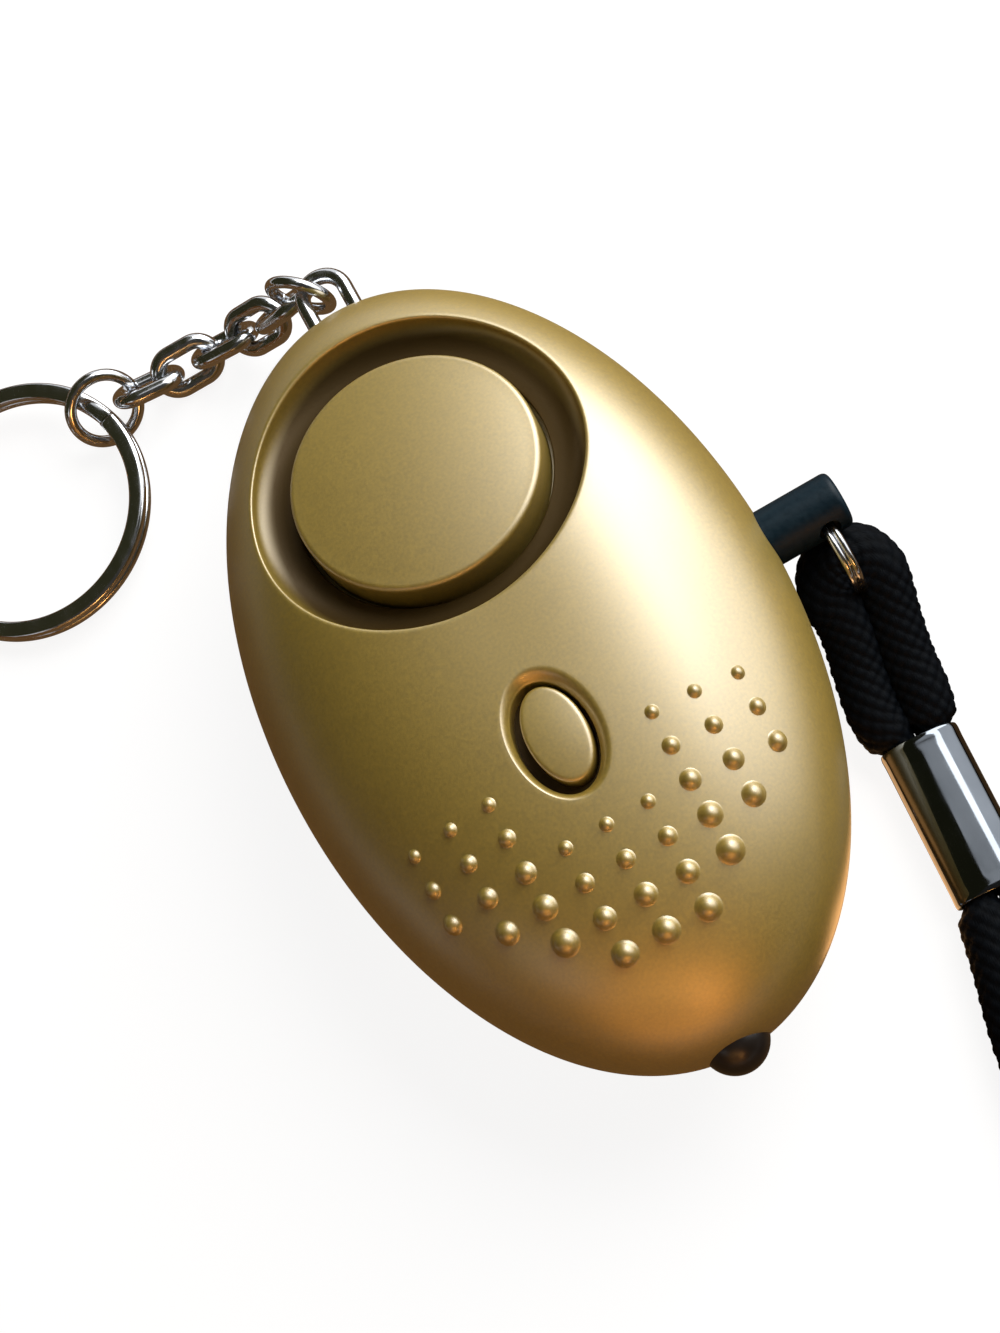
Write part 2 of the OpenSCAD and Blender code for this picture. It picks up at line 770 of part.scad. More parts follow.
// Bent wire eye: its legs pass the seam and its feet lie behind the wall
module chain_eyelet() {
    color(chrome) translate([0, 0, seam]) {
        translate([0, eyelet_y, 0]) rotate_extrude(angle = 180)
            translate([eyelet_radius, 0]) circle(d = eyelet_wire);
        for (side = [-1, 1]) {
            x = side * eyelet_radius;
            foot_x = side * (eyelet_radius + eyelet_foot);
            rod([x, eyelet_inner, 0], [x, eyelet_y, 0], eyelet_wire / 2);
            translate([x, eyelet_inner, 0]) sphere(d = eyelet_wire);
            rod([x, eyelet_inner, 0], [foot_x, eyelet_inner, 0], eyelet_wire / 2);
        }
    }
}

// Direction and middle of each piece of the chain, one hung on the next
function heading(i) = [
    cos(chain_slope[i]) * cos(chain_yaw[i]),
    cos(chain_slope[i]) * sin(chain_yaw[i]),
    -sin(chain_slope[i])
];
function chain_centre(i) = i == 0
    ? eyelet_contact + heading(0) * (end_radius - (eyelet_wire + ring_wire) / 2 - chain_slack)
    : chain_centre(i - 1) + heading(i - 1) * chain_half[i - 1]
        + heading(i) * (chain_half[i] - (chain_wire[i - 1] + chain_wire[i]) / 2 - chain_slack);

module at_chain(i) {
    translate(chain_centre(i)) rotate([0, chain_slope[i], chain_yaw[i]])
        rotate([chain_roll[i], 0, 0]) children();
}

// Oval link of round wire, long along x
module link() {
    bend = (link_width - link_wire) / 2;
    half = (link_length - link_width) / 2;
    for (side = [-1, 1]) {
        translate([-half, side * bend, 0]) rotate([0, 90, 0])
            cylinder(d = link_wire, h = 2 * half, $fn = 24);
        translate([side * half, 0, 0]) rotate([0, 0, -90 * side])
            rotate_extrude(angle = 180) translate([bend, 0]) circle(d = link_wire, $fn = 24);
    }
}

module end_ring() { color(chrome) at_chain(0) wire_ring(end_radius, ring_wire); }
module chain_link_1() { color(chrome) at_chain(1) link(); }
module chain_link_2() { color(chrome) at_chain(2) link(); }
module chain_link_3() { color(chrome) at_chain(3) link(); }
module chain_link_4() { color(chrome) at_chain(4) link(); }
module chain_link_5() { color(chrome) at_chain(5) link(); }
module jump_ring() { color(chrome) at_chain(6) wire_ring(jump_radius, ring_wire); }

// Flat split ring of two turns, grooved between them
module key_ring() {
    reach = key_middle * cos(key_tilt) + key_offset;
    middle = chain_centre(6) + reach * [cos(key_yaw), sin(key_yaw), 0];
    color(chrome) translate([middle.x, middle.y, key_z]) rotate([0, 0, key_yaw]) rotate([0, key_tilt, 0])
        rotate_extrude($fn = 128) difference() {
            translate([key_ring_diameter / 2 - key_ring_band, -key_ring_height / 2])
                square([key_ring_band, key_ring_height]);
            translate([key_ring_diameter / 2 - 0.25, -key_groove / 2]) square([1, key_groove]);
        }
}

front_shell();
back_shell();
case_screws();
speaker_cap();
piezo_holder();
piezo_disc();
piezo_wires();
light_button();
switch_plunger();
light_switch();
circuit_board();
lamp();
cell_1();
cell_2();
cell_3();
plus_contact();
minus_contact();
pin_jack();
pin_contacts();
pull_pin();
pin_ring();
cord_loop();
ferrule();
wrist_cord();
chain_eyelet();
end_ring();
chain_link_1();
chain_link_2();
chain_link_3();
chain_link_4();
chain_link_5();
jump_ring();
key_ring();
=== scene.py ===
"""Looks of a personal safety alarm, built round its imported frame.

The case is two moulded domes of one formula, the sounder cap sits in a leaning well, the chain and its
rings are bent wire, and the strap is braided cord. Lengths are millimetres until a mesh is written.
"""

import logging
from collections.abc import Callable, Sequence
from dataclasses import dataclass, field
from enum import Enum
from functools import cache

import bmesh
import bpy
import numpy as np
from mathutils import Matrix


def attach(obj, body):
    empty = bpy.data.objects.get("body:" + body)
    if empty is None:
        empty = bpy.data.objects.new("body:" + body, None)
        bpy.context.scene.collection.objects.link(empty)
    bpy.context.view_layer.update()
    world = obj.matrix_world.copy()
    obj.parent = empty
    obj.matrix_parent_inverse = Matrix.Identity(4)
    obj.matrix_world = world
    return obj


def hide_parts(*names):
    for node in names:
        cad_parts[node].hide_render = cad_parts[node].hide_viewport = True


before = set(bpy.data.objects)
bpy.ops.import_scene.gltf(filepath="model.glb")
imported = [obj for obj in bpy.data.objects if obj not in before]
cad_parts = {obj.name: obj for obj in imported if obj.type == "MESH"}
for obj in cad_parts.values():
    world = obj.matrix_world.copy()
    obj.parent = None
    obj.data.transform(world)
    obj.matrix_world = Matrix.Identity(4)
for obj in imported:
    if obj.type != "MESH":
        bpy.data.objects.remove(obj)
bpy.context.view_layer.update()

LOG = logging.getLogger("alarm")
MM = 0.001
WELD = 1e-6
SAME = 1e-6
TURN = 2 * np.pi
Array = np.ndarray
Colour = tuple[float, float, float]
Point = tuple[float, float, float]
Pair = tuple[float, float]
Socket = bpy.types.NodeSocket
UP = np.array([0.0, 0.0, 1.0])
SPEAKER_MIDDLE = (0.0, 13.6, 18.283)
SPEAKER_LEAN = -8.0


class Body(Enum):
    """Bodies of the frame that the pieces ride on."""

    CASE = "case"
    BUTTON = "light_button"
    PIN = "pull_pin"
    PIN_RING = "pin_ring"
    END_RING = "end_ring"
    LINK_1 = "chain_link_1"
    LINK_2 = "chain_link_2"
    LINK_3 = "chain_link_3"
    LINK_4 = "chain_link_4"
    LINK_5 = "chain_link_5"
    JUMP_RING = "jump_ring"
    KEY_RING = "key_ring"


class Slot(Enum):
    """Material slots of the record, one named for each new piece."""

    GOLD = "gold_paint"
    CHROME = "chrome"
    BLACK = "black_plastic"
    CORD = "cord"
    LENS = "lamp_lens"


class Coord(Enum):
    """Outputs of the texture coordinate node that a pattern may follow."""

    OBJECT = "Object"
    UV = "UV"


# Grids and meshes


def ramp(count: int, start: float = 0.0, stop: float = 1.0) -> Array:
    """Evenly spaced numbers from start to stop, both included."""
    return np.linspace(start, stop, count)


def unit(vectors: Array) -> Array:
    """Vectors divided by their own lengths."""
    return vectors / np.linalg.norm(vectors, axis=-1, keepdims=True)


def join(*columns: Array | float) -> Array:
    """Coordinates broadcast to one shape and stacked on a last axis."""
    return np.stack(np.broadcast_arrays(*columns), axis=-1).astype(float)


def grid_faces(rows: int, cols: int, wrap: bool) -> Array:
    """Quads between neighbouring rows and columns of a grid.

    Args:
        rows: Number of rows of points.
        cols: Number of columns of points.
        wrap: Whether the last column meets the first.

    Returns:
        Corner indices, one row of four for each quad.
    """
    r = np.arange(rows - 1)[:, None]
    c = np.arange(cols if wrap else cols - 1)[None, :]
    n = (c + 1) % cols
    quads = join(r * cols + c, r * cols + n, (r + 1) * cols + n, (r + 1) * cols + c)
    return quads.reshape(-1, 4).astype(int)


def bezier(a: Array, b: Array, c: Array, steps: int) -> Array:
    """Quadratic curve (1-w)(1-w)a + 2w(1-w)b + w·w·c, as rows of w from 0 to 1.

    Args:
        a: Points where the curve starts.
        b: Points that its two tangents share.
        c: Points where it ends.
        steps: Number of rows.

    Returns:
        One row of points for each w.
    """
    w = ramp(steps).reshape((steps,) + (1,) * np.ndim(a))
    return (1 - w) ** 2 * a + 2 * w * (1 - w) * b + w**2 * c


def rounded(corners: Sequence[tuple[float, float, float]], steps: int = 6) -> Array:
    """Open outline whose corners are eased by short curves.

    Each corner gives two coordinates and the length that its curve takes off both neighbouring sides.

    Args:
        corners: Coordinates and easing length of each corner, in order.
        steps: Points on each curve.

    Returns:
        Points of the outline.
    """
    table = np.array(corners, float)
    p, ease = table[:, :2], table[:, 2]
    back = unit(p[:-2] - p[1:-1])
    ahead = unit(p[2:] - p[1:-1])
    cut = ease[1:-1, None]
    curves = bezier(p[1:-1] + back * cut, p[1:-1], p[1:-1] + ahead * cut, steps)
    return np.vstack([p[:1], curves.transpose(1, 0, 2).reshape(-1, 2), p[-1:]])


def resample(points: Array, step: float) -> Array:
    """Points moved along their own line to even distances of about one step.

    Args:
        points: Line of points.
        step: Wanted distance.

    Returns:
        Evenly spaced points from the first to the last.
    """
    walked = np.concatenate([[0.0], np.cumsum(np.linalg.norm(np.diff(points, axis=0), axis=1))])
    count = int(np.ceil(walked[-1] / step)) + 1
    even = ramp(count, 0, walked[-1])
    return np.column_stack([np.interp(even, walked, column) for column in points.T])


@dataclass(frozen=True)
class Place:
    """Local frame in the case's frame: an origin and three axes."""

    origin: Array
    axes: Array

    @classmethod
    def turned(cls, origin: Point | Array, yaw: float = 0, pitch: float = 0, roll: float = 0) -> "Place":
        """Frame turned about x by roll, then y by pitch, then z by yaw, in degrees.

        Args:
            origin: Middle of the frame.
            yaw: Turn about z.
            pitch: Turn about y.
            roll: Turn about x.

        Returns:
            The frame.
        """
        turns = [Matrix.Rotation(np.radians(a), 3, k) for a, k in ((yaw, "Z"), (pitch, "Y"), (roll, "X"))]
        return cls(np.array(origin, float), np.array(turns[0] @ turns[1] @ turns[2]))

    def put(self, local: Array) -> Array:
        """Local points as points of the case's frame."""
        return self.origin + local @ self.axes.T

    def lathe(self, outline: Array, sides: int) -> Array:
        """Surface of an outline turned about the frame's z.

        A point at radius r and height h becomes (r cos a, r sin a, h) for each angle a.

        Args:
            outline: Radius and height of each point.
            sides: Number of angles in the turn.

        Returns:
            Grid of points, one row for each outline point.
        """
        a = ramp(sides + 1, 0, TURN)[:-1]
        r, h = outline[:, :1], outline[:, 1:]
        return self.put(join(r * np.cos(a), r * np.sin(a), h))


def sweep(path: Array, section: Array, level: Array, closed: bool = False) -> Array:
    """Surface of a flat outline carried along a path.

    At each path point the outline lies square to the path: its first coordinate runs to the side, which is
    square to the path and to the level direction, and its second runs square to both. The ends of an open
    path are closed on their middles.

    Args:
        path: Points of the middle line.
        section: Outline, either one for the whole path or one for each point.
        level: Direction that the side keeps square to.
        closed: Whether the path's end meets its start.

    Returns:
        Grid of points, one row for each path point.
    """
    if closed:
        way = unit(np.roll(path, -1, axis=0) - np.roll(path, 1, axis=0))
    else:
        way = unit(np.gradient(path, axis=0))
    side = unit(np.cross(way, level))
    up = np.cross(side, way)
    shape = np.broadcast_to(section, (len(path),) + section.shape[-2:])
    rows = path[:, None] + shape[..., :1] * side[:, None] + shape[..., 1:] * up[:, None]
    if closed:
        return np.concatenate([rows, rows[:1]])
    ends = np.broadcast_to(path[[0, -1], None], (2,) + rows.shape[1:])
    return np.concatenate([ends[:1], rows, ends[1:]])


def circle(radius: float, sides: int) -> Array:
    """Round outline, its first point not repeated."""
    a = ramp(sides + 1, 0, TURN)[:-1]
    return radius * join(np.cos(a), np.sin(a))


def full_circle(power: float, sides: int) -> Array:
    """Round outline of radius one whose sine and cosine are raised to a power, keeping their signs."""
    turned = circle(1.0, sides)
    return np.sign(turned) * np.abs(turned) ** power


@dataclass
class Skin:
    """Surface of one piece, gathered from grids of points."""

    points: list[Array] = field(default_factory=list)
    faces: list[Array] = field(default_factory=list)
    maps: list[Array] = field(default_factory=list)
    reliefs: list[Array] = field(default_factory=list)

    def add(self, grid: Array, wrap: bool = True, drop: Array | None = None) -> "Skin":
        """Adds one grid of points.

        Args:
            grid: Points by row and column.
            wrap: Whether the last column meets the first.
            drop: Quads to leave out, by row and column.

        Returns:
            This skin.
        """
        rows, cols = grid.shape[:2]
        quads = grid_faces(rows, cols, wrap)
        if drop is not None:
            quads = quads[~drop.reshape(-1)]
        self.faces.append(quads + sum(len(p) for p in self.points))
        self.points.append(grid.reshape(-1, 3))
        return self

    def chart(self, uv: Array, relief: Array) -> None:
        """Gives the grid added last its map and its height over the mean."""
        self.maps.append(uv.reshape(-1, 2))
        self.reliefs.append(relief.reshape(-1))

    def mesh(self, name: str) -> bpy.types.Mesh:
        """Writes the grids into one welded mesh whose faces point outwards.

        Args:
            name: Name of the mesh.

        Returns:
            The mesh, in metres.
        """
        made = bpy.data.meshes.new(name)
        made.from_pydata((np.vstack(self.points) * MM).tolist(), [], np.vstack(self.faces).tolist())
        if self.maps:
            corner = np.zeros(len(made.loops), np.int32)
            made.loops.foreach_get("vertex_index", corner)
            layer = made.uv_layers.new(name="strand_map")
            layer.uv.foreach_set("vector", np.vstack(self.maps)[corner].astype(np.float32).ravel())
            height = made.attributes.new("relief", "FLOAT", "POINT")
            height.data.foreach_set("value", np.concatenate(self.reliefs).astype(np.float32))
        work = bmesh.new()
        work.from_mesh(made)
        bmesh.ops.remove_doubles(work, verts=work.verts, dist=WELD)
        bmesh.ops.dissolve_degenerate(work, edges=work.edges, dist=WELD / 10)
        bmesh.ops.recalc_face_normals(work, faces=work.faces)
        work.to_mesh(made)
        work.free()
        made.polygons.foreach_set("use_smooth", np.ones(len(made.polygons), bool))
        made.update()
        return made


# Finishes


@dataclass
class Nodes:
    """Node tree of one material under construction."""

    tree: bpy.types.NodeTree

    def add(self, kind: str, settings: dict | None = None, **inputs: object) -> bpy.types.Node:
        """Adds a node and fills its sockets.

        Args:
            kind: Node type, without its shader prefix.
            settings: Properties of the node.
            inputs: Values, or sockets to link from, by input name with _ for a space.

        Returns:
            The node.
        """
        node = self.tree.nodes.new("ShaderNode" + kind)
        for name, value in (settings or {}).items():
            setattr(node, name, value)
        for name, value in inputs.items():
            self.feed(node.inputs[name.replace("_", " ")], value)
        return node

    def feed(self, socket: Socket, value: object) -> None:
        """Links an input from another socket, or sets its value.

        Args:
            socket: The input.
            value: Socket to link from, or a value.
        """
        if isinstance(value, Socket):
            self.tree.links.new(value, socket)
        else:
            socket.default_value = value

    def end(self, shader: bpy.types.Node) -> None:
        """Links a shader to the material's output."""
        self.feed(self.tree.nodes["Material Output"].inputs["Surface"], shader.outputs[0])

    def math(self, operation: str, *values: Socket | float) -> Socket:
        """Result of one operation on two values.

        Args:
            operation: Name of the operation.
            values: The two values, or sockets to link from.

        Returns:
            The result's socket.
        """
        node = self.add("Math", {"operation": operation})
        for socket, value in zip(node.inputs, values):
            self.feed(socket, value)
        return node.outputs[0]

    def attribute(self, name: str) -> Socket:
        """Value that the mesh holds under that name."""
        return self.add("Attribute", {"attribute_name": name}).outputs["Fac"]

    def noise(
        self, scale: float, detail: float = 2.0, coord: Coord = Coord.OBJECT, stretch: Point = (1, 1, 1)
    ) -> Socket:
        """Noise value over the piece.

        Args:
            scale: Grains to a metre, or to a unit of the map.
            detail: Octaves of finer noise.
            coord: Coordinates that the noise follows.
            stretch: Scale of each coordinate.

        Returns:
            The value's socket.
        """
        place = self.add("TexCoord").outputs[coord.value]
        turned = self.add("Mapping", Vector=place, Scale=stretch).outputs["Vector"]
        return self.add("TexNoise", Vector=turned, Scale=scale, Detail=detail).outputs["Fac"]

    def span(self, value: Socket, low: float, high: float) -> Socket:
        """A value from 0.3 to 0.7 spread from low to high, and held there."""
        settings = {"From_Min": 0.3, "From_Max": 0.7, "To_Min": low, "To_Max": high}
        return self.add("MapRange", Value=value, **settings).outputs["Result"]

    def mix(self, share: Socket, a: Colour, b: Colour) -> Socket:
        """Colour between a and b by a share from 0 to 1."""
        node = self.add("ValToRGB", Fac=share)
        node.color_ramp.elements[0].color = (*a, 1)
        node.color_ramp.elements[1].color = (*b, 1)
        return node.outputs["Color"]

    def blend(self, share: Socket, under: Socket, over: Colour) -> Socket:
        """Colour from a socket turned to another colour by a share from 0 to 1."""
        node = self.add("MixRGB", Fac=share, Color1=under, Color2=(*over, 1))
        return node.outputs["Color"]

    def bump(self, value: Socket, height: float, strength: float = 1.0) -> Socket:
        """Normal of a small relief of that height in metres."""
        return self.add("Bump", Height=value, Distance=height, Strength=strength).outputs["Normal"]

    def surface(self, **inputs: object) -> None:
        """Principled surface of the material, by input name with _ for a space."""
        self.end(self.add("BsdfPrincipled", **inputs))


def blank(name: str) -> tuple[bpy.types.Material, Nodes]:
    """New material with only its output, and its node tree."""
    made = bpy.data.materials.new(name)
    made.use_nodes = True
    shader = made.node_tree.nodes["Principled BSDF"]
    made.node_tree.nodes.remove(shader)
    return made, Nodes(made.node_tree)


@dataclass(frozen=True)
class GoldPaint:
    """Satin champagne metallic paint with fine flake over moulded plastic."""

    deep: Colour = (0.34, 0.228, 0.012)
    pale: Colour = (0.48, 0.326, 0.026)
    # Painted shade: the colour the paint darkens to at the bottom of the grooves.
    groove_shade: Colour = (0.062, 0.036, 0.007)
    flakes: float = 4300.0
    clouds: float = 90.0
    cloud_share: float = 0.3
    metal: float = 0.35
    rough: Pair = (0.44, 0.56)
    gloss: float = 0.2
    # Coat weight outside the grooves and at their bottom; its fading in the grooves is painted shade.
    coat: Pair = (1.0, 0.03)
    coat_rough: float = 0.4
    coat_index: float = 2.8
    grain: float = 0.000014
    grain_strength: float = 0.5

    def make(self) -> bpy.types.Material:
        """Flake over slow clouds drives colour, roughness and relief; in the grooves painted shade darkens
        the colour and fades the coat.
        """
        made, nodes = blank("gold_paint_finish")
        flake = nodes.noise(self.flakes, 2.0)
        cloud = nodes.noise(self.clouds, 3.0)
        part = nodes.add("Mix", {"data_type": "FLOAT"}, Factor=self.cloud_share, A=flake, B=cloud)
        paint = nodes.mix(nodes.span(part.outputs["Result"], 0.0, 1.0), self.deep, self.pale)
        # Painted shade: how deep a point lies in a groove darkens the colour and fades the coat.
        shade_depth = nodes.attribute("shade_depth")
        coat = nodes.add("MapRange", Value=shade_depth, To_Min=self.coat[0], To_Max=self.coat[1])
        nodes.surface(
            Base_Color=nodes.blend(shade_depth, paint, self.groove_shade),
            Metallic=self.metal,
            Roughness=nodes.span(flake, *self.rough),
            Specular_IOR_Level=self.gloss,
            Coat_Weight=coat.outputs["Result"],
            Coat_Roughness=self.coat_rough,
            Coat_IOR=self.coat_index,
            Normal=nodes.bump(flake, self.grain, self.grain_strength),
        )
        return made


@dataclass(frozen=True)
class Chrome:
    """Bright plated steel with faint rubbing marks."""

    name: str = "chrome_finish"
    deep: Colour = (0.58, 0.6, 0.63)
    pale: Colour = (0.74, 0.76, 0.79)
    rough: Pair = (0.1, 0.22)
    relief: float = 0.12
    marks: float = 1500.0
    mark_height: float = 0.00001
    stretch: Point = (1, 0.3, 1)
    clouds: float = 400.0

    def make(self) -> bpy.types.Material:
        """Fine long noise roughens the plating and turns its normal slightly."""
        made, nodes = blank(self.name)
        rub = nodes.noise(self.marks, 3.0, stretch=self.stretch)
        cloud = nodes.noise(self.clouds, 2.0)
        nodes.surface(
            Base_Color=nodes.mix(cloud, self.deep, self.pale),
            Metallic=1.0,
            Roughness=nodes.span(rub, *self.rough),
            Normal=nodes.bump(rub, self.mark_height, self.relief),
        )
        return made


@dataclass(frozen=True)
class BraidedCord:
    """Black braided cord: dull and darkened by painted shade in the gaps, dark blue and silky on the strands.
    """

    # Painted shade: the colour of the gaps between strands; the strand colour is the cord's own.
    gap: Colour = (0.0003, 0.0003, 0.0004)
    strand: Colour = (0.0016, 0.003, 0.005)
    fibres: Point = (26.0, 150.0, 1.0)
    rough: Pair = (0.5, 0.7)
    gloss: float = 0.05
    fibre_height: float = 0.00008
    fibre_strength: float = 0.6

    def make(self) -> bpy.types.Material:
        """The strand's height darkens the gaps with painted shade, and fibre noise along the cord adds
        relief.
        """
        made, nodes = blank("braided_cord_finish")
        fibre = nodes.noise(1.0, 3.0, Coord.UV, self.fibres)
        nodes.surface(
            Base_Color=nodes.mix(nodes.attribute("relief"), self.gap, self.strand),
            Roughness=nodes.span(fibre, *self.rough),
            Specular_IOR_Level=self.gloss,
            Normal=nodes.bump(fibre, self.fibre_height, self.fibre_strength),
        )
        return made


@dataclass(frozen=True)
class LampLens:
    """Smoky clear lens of the small lamp."""

    deep: Colour = (0.012, 0.009, 0.008)
    pale: Colour = (0.034, 0.026, 0.022)
    clouds: float = 500.0
    rough: float = 0.3
    index: float = 1.5
    clear: float = 0.1
    ripple: float = 0.00001
    ripple_strength: float = 0.2

    def make(self) -> bpy.types.Material:
        """Slow noise varies the smoke; the gloss is even."""
        made, nodes = blank("lamp_lens_finish")
        cloud = nodes.noise(self.clouds, 2.0)
        nodes.surface(
            Base_Color=nodes.mix(cloud, self.deep, self.pale),
            Roughness=self.rough,
            IOR=self.index,
            Transmission_Weight=self.clear,
            Normal=nodes.bump(cloud, self.ripple, self.ripple_strength),
        )
        return made


@dataclass(frozen=True)
class PlainFinish:
    """Simple grained finish of moulded plastic, or of a piece inside the case."""

    name: str
    deep: Colour
    pale: Colour
    metal: float
    rough: Pair
    gloss: float = 0.5
    grains: float = 1800.0
    grain_height: float = 0.00001
    grain_strength: float = 0.4

    def make(self) -> bpy.types.Material:
        """One noise drives colour, roughness and relief."""
        made, nodes = blank(self.name)
        grain = nodes.noise(self.grains, 3.0)
        nodes.surface(
            Base_Color=nodes.mix(grain, self.deep, self.pale),
            Metallic=self.metal,
            Roughness=nodes.span(grain, *self.rough),
            Specular_IOR_Level=self.gloss,
            Normal=nodes.bump(grain, self.grain_height, self.grain_strength),
        )
        return made


GOLD = GoldPaint()
CHROME = Chrome()
PLATED = Chrome("plated_tube_finish", (0.14, 0.157, 0.18), (0.19, 0.21, 0.235), (0.05, 0.12), 0.03)
# Black plastic whose teal tint paints in the pin's blue-teal sheen.
BLACK = PlainFinish(
    "black_plastic_finish", (0.0015, 0.009, 0.016), (0.003, 0.018, 0.03), 0.0, (0.36, 0.5),
    gloss=0.18, grains=2600.0, grain_height=0.00002, grain_strength=0.5,
)
CORD = BraidedCord()
LENS = LampLens()
BRASS = PlainFinish("brass_finish", (0.5, 0.33, 0.1), (0.68, 0.48, 0.18), 1.0, (0.22, 0.38))
CELL = PlainFinish("cell_steel_finish", (0.42, 0.43, 0.44), (0.6, 0.61, 0.62), 1.0, (0.2, 0.36))
BOARD = PlainFinish("board_finish", (0.01, 0.07, 0.025), (0.02, 0.12, 0.045), 0.0, (0.32, 0.48))
JACKET = PlainFinish("wire_jacket_finish", (0.3, 0.012, 0.01), (0.42, 0.02, 0.015), 0.0, (0.34, 0.5))
Finish = GoldPaint | Chrome | BraidedCord | LampLens | PlainFinish


@cache
def material_of(finish: Finish) -> bpy.types.Material:
    """The one material of a finish."""
    return finish.make()


def piece(name: str, skin: Skin, finish: Finish, slot: Slot, body: Body, *nodes: str) -> bpy.types.Object:
    """Makes one piece of the object and puts it on its body.

    Args:
        name: Name of the piece.
        skin: Its surface.
        finish: Its finish.
        slot: Slot of the record for its finish; not used.
        body: Body that it rides on.
        nodes: Nodes of the frame that it stands for.

    Returns:
        The piece's object.
    """
    made = bpy.data.objects.new(name, skin.mesh(name))
    made.data.materials.append(material_of(finish))
    bpy.context.scene.collection.objects.link(made)
    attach(made, body.value)
    if nodes:
        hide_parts(*nodes)
    LOG.info("%s: %d faces on %s", name, len(made.data.polygons), body.value)
    return made


def spots(made: bpy.types.Object) -> Array:
    """Places of a piece's points in millimetres."""
    flat = np.zeros(len(made.data.vertices) * 3, np.float32)
    made.data.vertices.foreach_get("co", flat)
    return flat.reshape(-1, 3) / MM


def paint_groove_shade(made: bpy.types.Object, shade_depth: Array, full: float) -> None:
    """Notes how deep each point lies in a groove, for the painted shade that darkens the paint there.

    Args:
        made: The piece.
        shade_depth: Depth of each point in millimetres.
        full: Depth at which the painted shade is darkest.
    """
    layer = made.data.attributes.new("shade_depth", "FLOAT", "POINT")
    layer.data.foreach_set("value", np.clip(shade_depth / full, 0, 1).astype(np.float32))


def thicken(made: bpy.types.Object, wall: float) -> None:
    """Gives an open skin a wall of that thickness, inwards."""
    wall_maker = made.modifiers.new("wall", "SOLIDIFY")
    wall_maker.thickness = wall * MM
    wall_maker.offset = -1


# Studio


@dataclass(frozen=True)
class Panel:
    """Lamp or card that faces the object.

    The way is its direction from the object, as right, up and back of the camera, and the reach its distance.
    A card's glow is the level that it shows in reflections only, a painted reflection; a lamp's glow is its
    tint, and only a lamp has power, in watts.
    """

    name: str
    way: Point
    reach: float
    size: Pair
    glow: Colour
    power: float = 0.0


@dataclass(frozen=True)
class Patch:
    """Glowing card that lies on the floor and only reflections see: a painted reflection."""

    name: str
    middle: Point
    size: Pair
    glow: Colour


